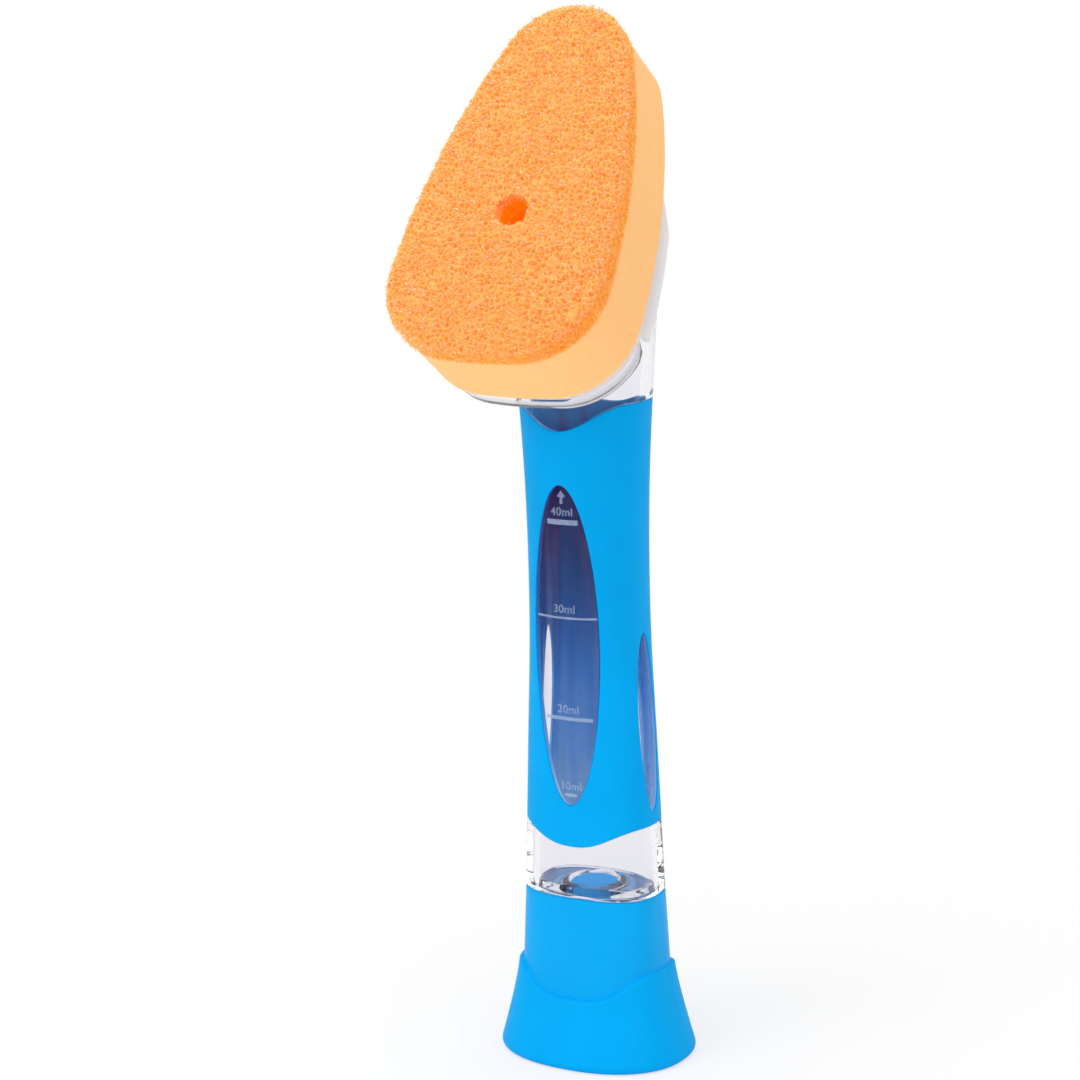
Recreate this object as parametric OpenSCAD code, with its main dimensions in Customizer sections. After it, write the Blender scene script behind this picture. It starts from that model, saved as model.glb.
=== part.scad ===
// Refillable dish wand: a clear soap tank with a rubber grip, a screw-off foot
// that closes the filler, and a slide-on sponge head fed through a slit valve.
// Upright on its foot, the handle runs along +Z, the scouring face looks to -Y
// and the left and right sides mirror each other across X = 0.

/* [Foot] */
// Height of the foot, up to its seam with the clear tank
foot_h = 43; // [40:0.5:48]
// Width of the foot where it stands
foot_w = 52; // [46:0.5:60]
// Depth of the foot where it stands
foot_d = 41.4; // [38:0.2:48]
// Roundness of the foot's outline where it stands (2 is an ellipse)
foot_square = 2.25; // [2:0.05:3]
// Height of the rubber skirt at the two sides
skirt_h = 24; // [22:0.2:27]
// How far the skirt's upper edge dips at the front
skirt_dip = 6.6; // [0:0.2:8]
// How far the skirt's upper edge dips at the back
skirt_back_dip = 4.4; // [0:0.2:8]
// Thickness of the skirt at its upper edge
skirt_edge_t = 1.1; // [0.8:0.1:1.6]
// Thickness of the skirt where it stands
skirt_t = 2.6; // [2:0.1:3.4]
// Rounding of the skirt's lower edge
skirt_round = 2.2; // [1:0.1:2.4]
// Rounding of the skirt's upper edge
lip_round = 0.8; // [0.3:0.05:0.9]
// Clearance of the skirt and the pad on the hard core
skirt_gap = 0.15; // [0.1:0.05:0.3]
// Thickness of the rubber pad that closes the foot underneath
foot_pad_t = 3; // [2:0.2:4]
// Wall of the hard core of the foot
core_t = 2; // [1.6:0.1:2.4]
// How much wider the core's collar is on each side at the skirt than at the seam
core_draft = 0.9; // [0.2:0.05:1.2]
// Thickness of the deck that closes the filler
deck_t = 2.5; // [2:0.1:4]
// Thickness of the ribs under the deck
rib_t = 1.6; // [1:0.1:2.4]
// Height of the ribs under the deck
rib_h = 8; // [4:0.5:12]

/* [Filler] */
// Radius of the filler bore
bore_r = 6.35; // [5.6:0.05:6.6]
// Outer radius of the filler neck, without its thread
neck_r = 8; // [7.6:0.1:8.2]
// Length of the filler neck below the seam
neck_l = 10; // [8:0.5:12]
// Room for the thread between neck and socket
thread_gap = 0.9; // [0.7:0.05:1]
// Wall of the threaded socket
socket_t = 1.6; // [1.2:0.1:2]
// Clearance of the sealing plug inside the filler bore
plug_gap = 0.6; // [0.3:0.05:0.9]
// How far the plug stands above the seam
plug_up = 2; // [0:0.5:3]
// Thickness of the tank's floor
floor_t = 2.1; // [1.6:0.1:4]
// Thickness of the sealing washer
washer_t = 1.4; // [1:0.1:2]
// Play above and below the sealing washer
washer_gap = 0.15; // [0.1:0.05:0.3]

/* [Tank] */
// Gap at the seam between foot and tank
seam_gap = 0.3; // [0.2:0.05:0.6]
// Width of the tank at the seam
collar_w = 36.2; // [34:0.2:38]
// Depth of the tank at the seam
collar_d = 24.6; // [24:0.2:27]
// Squareness of the outline at the seam
collar_square = 2.65; // [2:0.05:3]
// Height of the taper above the seam
taper_up = 37; // [30:1:45]
// Width of the taper
taper_w = 33.4; // [31:0.2:36]
// Depth of the taper
taper_d = 25; // [24:0.2:28]
// Height of the waist above the seam
waist_up = 72; // [62:1:80]
// Width of the waist
waist_w = 30; // [28:0.2:33]
// Depth of the waist
waist_d = 27.8; // [26:0.2:30]
// Height of the shoulder above the seam
shoulder_up = 107; // [98:1:114]
// Width of the shoulder
shoulder_w = 31.2; // [29:0.2:34]
// Depth of the shoulder
shoulder_d = 28.6; // [27:0.2:31]
// Squareness of the outline from the shoulder upwards
shoulder_square = 2.16; // [2:0.02:2.6]
// Height of the neck's widest section above the seam
neck_up = 147; // [142:1:152]
// Width of the neck
neck_w = 36; // [33:0.2:38]
// Depth of the neck
neck_d = 32.4; // [30:0.2:34]
// Height above the seam at which the domed end would close
dome_up = 185; // [180:1:190]
// Wall of the tank under the grip
wall = 1.8; // [1.2:0.1:2.4]

/* [Grip] */
// Thickness of the rubber grip, which lies flush in the tank
grip_t = 1.5; // [1:0.1:2]
// Clearance of the grip in its recess
grip_gap = 0.1; // [0.05:0.05:0.3]
// Height above the seam of the grip's lower edge, front and back
grip_low_up = 14; // [11:0.5:18]
// How far that edge rises at the sides
grip_low_wave = 4.9; // [0:0.1:7]
// Height above the seam of the grip's upper edge at the front
grip_top_up = 120; // [114:0.5:123]
// How far the upper edge rises at the sides
grip_top_wave = 6.4; // [0:0.1:8]
// How much higher the upper edge is at the back than at the front
grip_back_rise = 3.5; // [0:0.1:5]
// Height above the seam of the front window's centre
front_window_up = 65.6; // [60:0.2:70]
// Length of the front window
front_window_l = 82; // [60:1:86]
// Width of the front window
front_window_w = 18.2; // [12:0.2:20]
// Height above the seam of the side windows' centre
side_window_up = 45; // [42:0.5:60]
// Length of the side windows
side_window_l = 45.8; // [30:0.2:50]
// Width of the side windows
side_window_w = 8.4; // [5:0.2:10]
// How far the tank's pads in the windows lie below the grip's surface
pad_drop = 0.2; // [0:0.1:0.8]

/* [Head] */
// Height above the seam at which the outlet meets the sponge
outlet_up = 160.4; // [156:0.2:165]
// Distance of that point in front of the handle's axis
outlet_reach = 12.4; // [11:0.2:14]
// Angle between the scouring face and the handle
head_tilt = 35.3; // [32:0.1:40]
// Distance from the outlet to the centre of the tip's rounding
tip_centre = 40.2; // [36:0.2:44]
// Radius of the tip
tip_r = 16.9; // [14:0.1:18]
// Distance from the outlet down to the centres of the wide corners
corner_drop = 17.4; // [15:0.2:20]
// Distance of those centres from the middle
corner_side = 9; // [7:0.2:12]
// Radius of the wide corners
corner_r = 19.2; // [16:0.1:20]
// Radius of the curved sides
side_r = 182; // [120:1:260]
// Radius of the curved lower edge
base_r = 139; // [90:1:200]
// Thickness of the soft sponge
sponge_t = 19; // [14:0.5:24]
// Thickness of the scouring pad
scour_t = 7; // [4:0.5:10]
// Radius of the soap hole through sponge and pad
soap_hole_r = 4.5; // [3.8:0.1:5]
// Thickness of the glue line between the layers
glue_t = 0.1; // [0.05:0.05:0.2]
// Rounding of the soft edges
soft_round = 1.6; // [0.8:0.1:2.4]

/* [Refill mount] */
// Thickness of the refill's backing plate
plate_t = 2.6; // [2:0.1:3.4]
// How far the backing plate stays inside the sponge's outline
plate_inset = 2; // [1.2:0.1:2.6]
// Wall of the rim along the sides
rim_t = 1.6; // [1.2:0.1:2]
// Sliding clearance between the refill and the tank's sole
slide_gap = 0.4; // [0.3:0.05:0.5]
// Thickness of the sole that carries the refill
sole_t = 3; // [2.4:0.1:3.6]
// Thickness of the lips that hold the refill on the sole
lip_t = 1.4; // [1:0.1:2]
// How far the lips reach behind the sole
lip_reach = 2.4; // [1.4:0.1:3]
// Length of the lips along each side
lip_l = 31; // [20:1:34]
// Length over which the rim runs out above the lips
rim_run_out = 8; // [4:0.5:10]
// How far the sole's lower shoulder stays inside the sponge's outline
shoulder_inset = 1.2; // [0.8:0.1:1.8]

/* [Valve] */
// Radius of the outlet bore behind the valve
outlet_r = 4.5; // [4:0.1:5]
// Radius of the valve's flange
valve_r = 7; // [6.4:0.1:7.4]
// Thickness of the valve's flange
valve_t = 1.2; // [0.8:0.1:1.3]
// Thickness of the valve's dome
valve_skin = 0.7; // [0.5:0.05:0.9]
// Depth of the valve's dome
valve_depth = 2.6; // [2:0.1:3]
// Length of the two crossed slits
slit_l = 4.8; // [3:0.2:5.6]
// Width of the slits
slit_w = 0.3; // [0.2:0.05:0.5]
// Thickness of the ring that holds the valve
ring_t = 1.1; // [0.8:0.1:1.2]
// Clearance round and between valve and ring
valve_gap = 0.1; // [0.05:0.05:0.15]
// Wall of the boss that carries the valve
boss_t = 2.2; // [1.6:0.1:2.6]
// How far the boss stands behind the sole
boss_l = 3; // [2:0.1:4]

/* [Hidden] */
clear_plastic = [0.85, 0.9, 0.93, 0.4];
blue_rubber = [0, 0.62, 0.93];
blue_plastic = [0, 0.58, 0.9];
white_silicone = [0.95, 0.95, 0.93];
soft_orange = [1, 0.78, 0.52];
bright_orange = [1, 0.65, 0.3];

sides = 48;
arc_steps = 9;
bands = 14;
over = 1;
seam = foot_h;
tank_low = seam + seam_gap;
dome_start = seam + neck_up;
dome_top = seam + dome_up;
recess = grip_t + grip_gap;
tank_inset = recess + wall;
floor_top = tank_low + floor_t;
neck_low = seam - neck_l;
washer_low = neck_low - washer_gap - washer_t;
deck_top = washer_low - washer_gap;
deck_low = deck_top - deck_t;
socket_r = neck_r + thread_gap;
plug_r = bore_r - plug_gap;
plug_top = seam + plug_up;
sole_front = -plate_t - slide_gap;
sole_back = sole_front - sole_t;
sole_inset = plate_inset + rim_t + slide_gap;
lip_front = sole_back - slide_gap;
lip_back = lip_front - lip_t;
valve_seat = sole_front - ring_t - valve_t - 3 * valve_gap;
scour_start = sponge_t + glue_t;
edge = 0.01;

// Stations of the handle: height, width, depth and squareness
station_z = [seam, seam + taper_up, seam + waist_up, seam + shoulder_up, seam + neck_up];
station_w = [collar_w, taper_w, waist_w, shoulder_w, neck_w];
station_d = [collar_d, taper_d, waist_d, shoulder_d, neck_d];
station_n = [collar_square, (collar_square + shoulder_square) / 2,
    shoulder_square + 0.1, shoulder_square, shoulder_square];

function mix(a, b, u) = a + (b - a) * u;
function ease(u) = u * u * (3 - 2 * u);
function signed_power(v, p) = sign(v) * pow(abs(v), p);

// A smooth curve through the stations, level with the outer ones beyond them
function station_slope(v, i) = let (lo = max(i - 1, 0), hi = min(i + 1, len(v) - 1))
    (v[hi] - v[lo]) / (station_z[hi] - station_z[lo]);
function station_below(z) = max([0, for (i = [0:len(station_z) - 2]) if (z >= station_z[i]) i]);
function along(v, z) = let (
        top = len(v) - 1,
        zc = min(max(z, station_z[0]), station_z[top]),
        i = station_below(zc),
        h = station_z[i + 1] - station_z[i],
        u = (zc - station_z[i]) / h)
    v[i] * (1 + 2 * u) * (1 - u) * (1 - u) + station_slope(v, i) * h * u * (1 - u) * (1 - u)
    + v[i + 1] * u * u * (3 - 2 * u) + station_slope(v, i + 1) * h * u * u * (u - 1);

// Half width, half depth and squareness of the handle at a height, drawn in by an inset
function dome(z, top) = z <= dome_start ? 1
    : sqrt(max(0, 1 - pow((z - dome_start) / (top - dome_start), 2)));
function handle_size(z, inset, top) = [
    (along(station_w, z) / 2 - inset) * dome(z, top),
    (along(station_d, z) / 2 - inset) * dome(z, top),
    along(station_n, z)];

// The same for the outside of the foot: straight collar above, flared skirt below
function flare(z) = pow(max(0, 1 - z / skirt_h), 1.3);
function foot_size(z, inset) = [
    mix(collar_w / 2 + core_draft + skirt_edge_t, foot_w / 2, flare(z)) - inset,
    mix(collar_d / 2 + core_draft + skirt_edge_t, foot_d / 2, flare(z)) - inset,
    mix(collar_square, foot_square, flare(z))];
function skirt_at(z) = mix(skirt_t, skirt_edge_t, min(1, z / skirt_h));
function core_size(z, inset) = z < skirt_h ? foot_size(z, skirt_at(z) + inset)
    : let (u = (z - skirt_h) / (seam - skirt_h)) [
        collar_w / 2 + core_draft * (1 - u) - inset,
        collar_d / 2 + core_draft * (1 - u) - inset,
        collar_square];

// Wavy edges: 0 at front and back, 1 at the sides
function wave(t) = ease(abs(cos(t)));
function grip_low(t) = seam + grip_low_up + grip_low_wave * wave(t);
function grip_top(t) = seam + grip_top_up + grip_top_wave * wave(t)
    + (sin(t) > 0 ? grip_back_rise * (1 - wave(t)) : 0);
function skirt_top(t) = skirt_h
    - (sin(t) > 0 ? skirt_back_dip : skirt_dip) * (1 - pow(wave(t), 1.5));

function spot(size, t, z) = [
    size[0] * signed_power(cos(t), 2 / size[2]),
    size[1] * signed_power(sin(t), 2 / size[2]),
    z];
function handle_ring(z, inset, top = dome_top) =
    [for (k = [0:sides - 1]) spot(handle_size(z, inset, top), k * 360 / sides, z)];
function grip_ring(u, inset, out = 0) = [for (k = [0:sides - 1]) let (
        t = k * 360 / sides,
        z = mix(grip_low(t) - out, grip_top(t) + out, u))
    spot(handle_size(z, inset, dome_top), t, z)];
function foot_ring(z, inset) = [for (k = [0:sides - 1]) spot(foot_size(z, inset), k * 360 / sides, z)];
function core_ring(z, inset) = [for (k = [0:sides - 1]) spot(core_size(z, inset), k * 360 / sides, z)];

// Skirt rings between a level height and the wavy edge, drawn in by a share of the skirt's thickness
function skirt_ring(u, low, drop, inset, share) = [for (k = [0:sides - 1]) let (
        t = k * 360 / sides,
        z = mix(low, skirt_top(t) - drop, u))
    spot(foot_size(z, inset + share * skirt_at(z)), t, z)];

// Skin over a stack of rings; an open stack gets flat ends, a closed one turns back into itself
module loft(rings, closed = false) {
    n = len(rings[0]);
    last = len(rings) - 1;
    skin = [for (i = [0:closed ? last : last - 1], j = [0:n - 1]) let (
            a = i * n + j,
            b = i * n + (j + 1) % n,
            c = ((i + 1) % len(rings)) * n + j,
            d = ((i + 1) % len(rings)) * n + (j + 1) % n)
        each [[a, c, d], [a, d, b]]];
    ends = closed ? [] : [[for (j = [0:n - 1]) j], [for (j = [n - 1:-1:0]) last * n + j]];
    polyhedron(points = [for (r = rings) each r], faces = concat(skin, ends), convexity = 10);
}

module on_head() {
    translate([0, -outlet_reach, seam + outlet_up])
        rotate([90 - head_tilt, 0, 0]) children();
}

// Outline of the sponge as seven tangent arcs, all drawn in by one inset
function unit(v) = v / norm(v);
function arc(c, r, a0, a1) = [for (k = [0:arc_steps - 1]) let (a = mix(a0, a1, k / arc_steps))
    c + r * [cos(a), sin(a)]];
tip = [0, tip_centre];
corner = [corner_side, -corner_drop];
to_corner = corner - tip;
side_reach = ((side_r - tip_r) ^ 2 - (side_r - corner_r) ^ 2 + to_corner * to_corner) / (2 * norm(to_corner));
side_centre = tip + unit(to_corner) * side_reach
    + [unit(to_corner)[1], -unit(to_corner)[0]] * sqrt((side_r - tip_r) ^ 2 - side_reach ^ 2);
base_centre = [0, -corner_drop + sqrt((base_r - corner_r) ^ 2 - corner_side ^ 2)];
function bearing(from, to) = atan2(to[1] - from[1], to[0] - from[0]);
tip_angle = bearing(side_centre, tip);
side_angle = bearing(side_centre, corner);
base_angle = bearing(base_centre, corner);
function half_outline(inset) = [
    each arc(tip, tip_r - inset, 90, tip_angle),
    each arc(side_centre, side_r - inset, tip_angle, side_angle),
    each arc(corner, corner_r - inset, side_angle, base_angle),
    each arc(base_centre, base_r - inset, base_angle, -90),
    [0, base_centre[1] - base_r + inset]];
function outline(inset) = let (h = half_outline(inset), n = len(h)) [
    for (k = [n - 1:-1:0]) h[k],
    for (k = [1:n - 2]) [-h[k][0], h[k][1]]];
function outline_ring(t, inset) = [for (p = outline(inset)) [p[0], p[1], t]];

module sheet(t, thick, inset) {
    translate([0, 0, t]) linear_extrude(thick) polygon(outline(inset));
}

// Everything behind a plane that is parallel to the scouring face
module behind(t) {
    on_head() translate([-neck_w, -2 * dome_top, t - 2 * dome_top])
        cube([2 * neck_w, 4 * dome_top, 2 * dome_top]);
}

module tank_outside() {
    loft([
        handle_ring(tank_low, 0),
        grip_ring(0, 0, grip_gap),
        for (k = [0:bands]) grip_ring(k / bands, recess, grip_gap),
        grip_ring(1, 0, grip_gap),
        for (k = [1:4]) handle_ring(mix(grip_top(0) + 2 * grip_gap, dome_start, k / 4), 0),
        for (a = [18:12:78]) handle_ring(mix(dome_start, dome_top, sin(a)), 0)]);
}

module tank_inside() {
    top = dome_top - wall;
    loft([
        handle_ring(tank_low - over, tank_inset),
        for (k = [0:bands]) handle_ring(mix(tank_low, dome_start, k / bands), tank_inset, top),
        for (a = [18:12:78]) handle_ring(mix(dome_start, top, sin(a)), tank_inset, top)]);
}

// Raised pads of the tank that fill the grip's windows
module window_pads() {
    intersection() {
        loft([for (k = [0:bands]) grip_ring(k / bands, pad_drop)]);
        windows(grip_gap);
    }
}

module reservoir_body() {
    color(clear_plastic) difference() {
        union() {
            intersection() {
                difference() {
                    union() {
                        tank_outside();
                        window_pads();
                    }
                    tank_inside();
                }
                behind(sole_front - sole_t / 2);
            }
            on_head() {
                sheet(sole_back, sole_t, sole_inset);
                intersection() {
                    sheet(sole_back, sole_t, shoulder_inset);
                    band(-2 * dome_top, -corner_drop - slide_gap);
                }
                translate([0, 0, sole_back - boss_l])
                    cylinder(r = outlet_r + boss_t, h = boss_l + sole_t / 2, $fn = 64);
            }
        }
        on_head() {
            translate([0, 0, sole_back - boss_l - over])
                cylinder(r = outlet_r, h = boss_l + sole_t + 2 * over, $fn = 64);
            translate([0, 0, valve_seat])
                cylinder(r = valve_r + valve_gap, h = sole_front - valve_seat + over, $fn = 64);
        }
    }
}

module reservoir_floor() {
    color(clear_plastic) difference() {
        union() {
            translate([0, 0, tank_low]) linear_extrude(floor_t)
                polygon([for (p = handle_ring(floor_top, tank_inset + grip_gap)) [p[0], p[1]]]);
            translate([0, 0, neck_low]) cylinder(r = neck_r, h = tank_low - neck_low + edge, $fn = 64);
        }
        translate([0, 0, neck_low - over])
            cylinder(r = bore_r, h = floor_top - neck_low + 2 * over, $fn = 64);
    }
}

// One oval window through the grip, and all three, drawn in by a gap
module window(up, width, length, turn) {
    translate([0, 0, seam + up]) rotate([90, 0, turn]) linear_extrude(neck_w)
        polygon([for (a = [0:6:354]) [width / 2 * cos(a), length / 2 * sin(a)]]);
}

module windows(gap) {
    window(front_window_up, front_window_w - 2 * gap, front_window_l - 2 * gap, 0);
    for (turn = [-90, 90])
        window(side_window_up, side_window_w - 2 * gap, side_window_l - 2 * gap, turn);
}

module grip_sleeve() {
    color(blue_rubber) difference() {
        loft(concat(
            [for (k = [0:bands]) grip_ring(k / bands, 0)],
            [for (k = [bands:-1:0]) grip_ring(k / bands, grip_t)]), closed = true);
        windows(0);
    }
}

module core_pockets() {
    difference() {
        loft([for (z = [deck_top, seam + over]) core_ring(z, core_t)]);
        cylinder(r = socket_r + socket_t, h = seam + 2 * over, $fn = 64);
    }
}

module core_hollow() {
    difference() {
        loft([for (k = [0:4]) core_ring(mix(foot_pad_t - over, deck_low, k / 4), core_t)]);
        for (turn = [0, 90]) rotate([0, 0, turn])
            translate([-foot_w / 2, -rib_t / 2, deck_low - rib_h]) cube([foot_w, rib_t, rib_h + over]);
    }
}

module cap_core() {
    color(blue_plastic) difference() {
        union() {
            difference() {
                loft(concat(
                    [for (k = [0:6]) core_ring(mix(foot_pad_t, skirt_h, k / 6), 0)],
                    [core_ring(seam, 0)]));
                core_hollow();
                core_pockets();
                translate([0, 0, deck_top]) cylinder(r = socket_r, h = seam - deck_top + over, $fn = 64);
            }
            translate([0, 0, deck_low + deck_t / 2])
                cylinder(r = plug_r, h = plug_top - deck_low - deck_t / 2, $fn = 64);
        }
        translate([0, 0, deck_low - over])
            cylinder(r = plug_r - core_t, h = plug_top - core_t - deck_low + over, $fn = 48);
    }
}

module foot_skirt() {
    color(blue_rubber) loft(concat(
        [for (a = [0:30:90]) foot_ring(skirt_round * (1 - cos(a)), skirt_round * (1 - sin(a)))],
        [for (k = [1:6]) skirt_ring(k / 6, skirt_round, lip_round, 0, 0)],
        [skirt_ring(1, 0, lip_round / 4, 0, 0.25), skirt_ring(1, 0, 0, 0, 0.6)],
        [for (k = [6:-1:0]) skirt_ring(k / 6, foot_pad_t, 0, -skirt_gap, 1)],
        [[for (p = skirt_ring(0, foot_pad_t, 0, -skirt_gap, 1)) [p[0], p[1], 0]]]), closed = true);
}

module foot_pad() {
    color(blue_rubber) linear_extrude(foot_pad_t - skirt_gap)
        polygon([for (p = core_ring(foot_pad_t, skirt_gap)) [p[0], p[1]]]);
}

module cap_washer() {
    color(white_silicone) translate([0, 0, washer_low]) difference() {
        cylinder(r = socket_r - 2 * washer_gap, h = washer_t, $fn = 64);
        translate([0, 0, -over]) cylinder(r = plug_r + 2 * washer_gap, h = washer_t + 2 * over, $fn = 64);
    }
}

module slit_valve() {
    base = valve_seat + valve_gap;
    mouth_r = outlet_r - 4 * valve_gap;
    cap_r = (mouth_r * mouth_r + valve_depth * valve_depth) / (2 * valve_depth);
    middle = base - valve_depth + cap_r;
    color(white_silicone) on_head() difference() {
        union() {
            translate([0, 0, base]) difference() {
                cylinder(r = valve_r, h = valve_t, $fn = 64);
                translate([0, 0, -over])
                    cylinder(r = mouth_r - valve_skin, h = valve_t + 2 * over, $fn = 64);
            }
            intersection() {
                translate([0, 0, middle]) difference() {
                    sphere(r = cap_r, $fn = 64);
                    sphere(r = cap_r - valve_skin, $fn = 64);
                }
                translate([0, 0, base - valve_depth - over])
                    cylinder(r = mouth_r, h = valve_depth + over + valve_skin, $fn = 64);
            }
        }
        for (turn = [45, 135]) rotate([0, 0, turn])
            translate([-slit_l / 2, -slit_w / 2, base - valve_depth - over])
                cube([slit_l, slit_w, valve_depth + over]);
    }
}

module valve_ring() {
    color(clear_plastic) on_head() translate([0, 0, sole_front - valve_gap - ring_t]) difference() {
        cylinder(r = valve_r, h = ring_t, $fn = 64);
        translate([0, 0, -over]) cylinder(r = outlet_r, h = ring_t + 2 * over, $fn = 64);
    }
}

// A band across the head between two places along its length
module band(from, to) {
    translate([-corner_r * 2, from, -neck_w]) cube([corner_r * 4, to - from, 2 * neck_w]);
}

// Side view of the rim: full depth along the lips, then running out
module rim_side() {
    translate([-neck_w, 0, 0]) rotate([90, 0, 90]) linear_extrude(2 * neck_w)
        polygon([
            [-corner_drop, 0],
            [-corner_drop, lip_back],
            [lip_l - corner_drop, lip_back],
            [lip_l + rim_run_out - corner_drop, -plate_t],
            [lip_l + rim_run_out - corner_drop, 0]]);
}

module refill_plate() {
    rim_inset = plate_inset + rim_t;
    lip_inset = rim_inset + slide_gap + lip_reach;
    color(clear_plastic) on_head() difference() {
        union() {
            sheet(-plate_t, plate_t, plate_inset);
            intersection() {
                difference() {
                    sheet(lip_back, -plate_t - lip_back + edge, plate_inset);
                    sheet(lip_back - over, 2 * over - plate_t - lip_back, rim_inset);
                }
                rim_side();
            }
            intersection() {
                difference() {
                    sheet(lip_back, lip_t, plate_inset);
                    sheet(lip_back - over, lip_t + 2 * over, lip_inset);
                }
                band(-corner_drop, lip_l - corner_drop);
            }
        }
        soap_hole();
    }
}

// Soap hole through plate, sponge and pad
module soap_hole() {
    translate([0, 0, -plate_t - over])
        cylinder(r = soap_hole_r, h = plate_t + scour_start + scour_t + 2 * over, $fn = 64);
}

module sponge() {
    color(soft_orange) on_head() difference() {
        loft([
            outline_ring(glue_t, soft_round),
            outline_ring(glue_t + soft_round * 0.3, soft_round * 0.3),
            outline_ring(glue_t + soft_round, 0),
            outline_ring(sponge_t, 0)]);
        soap_hole();
    }
}

module scour_pad() {
    top = scour_start + scour_t;
    color(bright_orange) on_head() difference() {
        loft([
            outline_ring(scour_start, 0),
            outline_ring(top - soft_round, 0),
            outline_ring(top - soft_round * 0.3, soft_round * 0.3),
            outline_ring(top, soft_round)]);
        soap_hole();
    }
}

reservoir_body();
reservoir_floor();
grip_sleeve();
cap_core();
foot_skirt();
foot_pad();
cap_washer();
slit_valve();
valve_ring();
refill_plate();
sponge();
scour_pad();
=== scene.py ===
import math
import bmesh
import bpy
import numpy as np
from mathutils import Matrix, Vector, noise


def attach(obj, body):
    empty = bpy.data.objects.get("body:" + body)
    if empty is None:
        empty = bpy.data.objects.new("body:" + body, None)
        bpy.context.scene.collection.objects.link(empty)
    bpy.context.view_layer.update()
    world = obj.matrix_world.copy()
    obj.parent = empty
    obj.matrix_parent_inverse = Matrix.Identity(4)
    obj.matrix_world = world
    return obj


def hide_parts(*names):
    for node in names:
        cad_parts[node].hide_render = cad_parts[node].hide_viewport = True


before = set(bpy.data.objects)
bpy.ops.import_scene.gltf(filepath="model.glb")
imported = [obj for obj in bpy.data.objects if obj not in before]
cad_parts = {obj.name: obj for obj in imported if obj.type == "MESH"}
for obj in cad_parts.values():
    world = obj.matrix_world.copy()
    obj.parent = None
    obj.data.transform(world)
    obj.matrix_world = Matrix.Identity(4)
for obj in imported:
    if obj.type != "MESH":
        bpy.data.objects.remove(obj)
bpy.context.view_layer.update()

# Looks of a refillable dish wand. All shapes are worked out in millimetres and stored in metres.
mm = 0.001

# Form of the clear handle above its seam with the foot, as the frame's parts have it
handleForm = {
    "seam": 43.0,
    "seamGap": 0.3,
    "stationUp": [0, 37, 72, 107, 147],
    "width": [36.2, 33.4, 30.0, 31.2, 36.0],
    "depth": [24.6, 25.0, 27.8, 28.6, 32.4],
    "square": [2.65, 2.405, 2.26, 2.16, 2.16],
    "domeUp": 185.0,
    "innerDomeDrop": 1.8,
    "innerInset": 3.4,
}
gripForm = {
    "thickness": 1.5,
    "gap": 0.1,
    "lowUp": 14.0,
    "lowWave": 4.9,
    "topUp": 120.0,
    "topWave": 6.4,
    "backRise": 3.5,
    "frontWindow": {"up": 65.6, "length": 82.0, "width": 18.2},
    "sideWindow": {"up": 45.0, "length": 45.8, "width": 8.4},
    "windowCorner": 62,
    "windowRings": 16,
    "ringSpread": 1.15,
    "edgeRound": 0.28,
}
headForm = {
    "outletUp": 160.4,
    "reach": 12.4,
    "tilt": 35.3,
    "tipCentre": 40.2,
    "tipRadius": 16.9,
    "cornerDrop": 17.4,
    "cornerSide": 9.0,
    "cornerRadius": 19.2,
    "sideRadius": 182.0,
    "baseRadius": 139.0,
    "holeRadius": 4.5,
    "arcSteps": 160,
    "insetLevels": 24,
}


def mix(a, b, share):
    return a + (b - a) * share


def ease(share):
    share = np.clip(share, 0, 1)
    return share * share * (3 - 2 * share)


def signedPower(value, power):
    return np.sign(value) * np.abs(value) ** power


def cosine(turn):
    return np.cos(np.radians(turn))


def sine(turn):
    return np.sin(np.radians(turn))


# Steps round a quarter turn: the first share rises from 0 to 1, the second falls from 1 to 0
def quarter(steps):
    return [(1 - math.cos(a), 1 - math.sin(a)) for a in np.linspace(0, math.pi / 2, steps)]


def rows(start, end, count):
    return [mix(start, end, share) for share in np.linspace(0, 1, count)]


# Carries a list of rings on to another ring in even steps
def carryOn(rings, end, count):
    rings += rows(rings[-1], end, count)[1:]


def curveThrough(start, corner, end, steps):
    return [start * (1 - u) ** 2 + corner * 2 * u * (1 - u) + end * u * u for u in np.linspace(0, 1, steps)]


# The handle's sections: a smooth curve through its stations, a superellipse at each height
seam = handleForm["seam"]
stationHeights = np.array(handleForm["stationUp"], float) + seam
domeStart = stationHeights[-1]
domeTop = seam + handleForm["domeUp"]
innerTop = domeTop - handleForm["innerDomeDrop"]
innerInset = handleForm["innerInset"]
recess = gripForm["thickness"] + gripForm["gap"]


def along(values, height):
    values = np.asarray(values, float)
    last = len(values) - 1
    low = np.maximum(np.arange(last + 1) - 1, 0)
    high = np.minimum(np.arange(last + 1) + 1, last)
    slopes = (values[high] - values[low]) / (stationHeights[high] - stationHeights[low])
    z = np.clip(height, stationHeights[0], stationHeights[-1])
    i = np.clip(np.searchsorted(stationHeights, z, side="right") - 1, 0, last - 1)
    step = stationHeights[i + 1] - stationHeights[i]
    u = (z - stationHeights[i]) / step
    return (values[i] * (1 + 2 * u) * (1 - u) ** 2 + slopes[i] * step * u * (1 - u) ** 2
            + values[i + 1] * u * u * (3 - 2 * u) + slopes[i + 1] * step * u * u * (u - 1))


def handleSize(height, inset, top=domeTop):
    closing = np.sqrt(np.clip(1 - ((height - domeStart) / (top - domeStart)) ** 2, 0, 1))
    closing = np.where(height > domeStart, closing, 1.0)
    return ((along(handleForm["width"], height) / 2 - inset) * closing,
            (along(handleForm["depth"], height) / 2 - inset) * closing,
            along(handleForm["square"], height))


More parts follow.
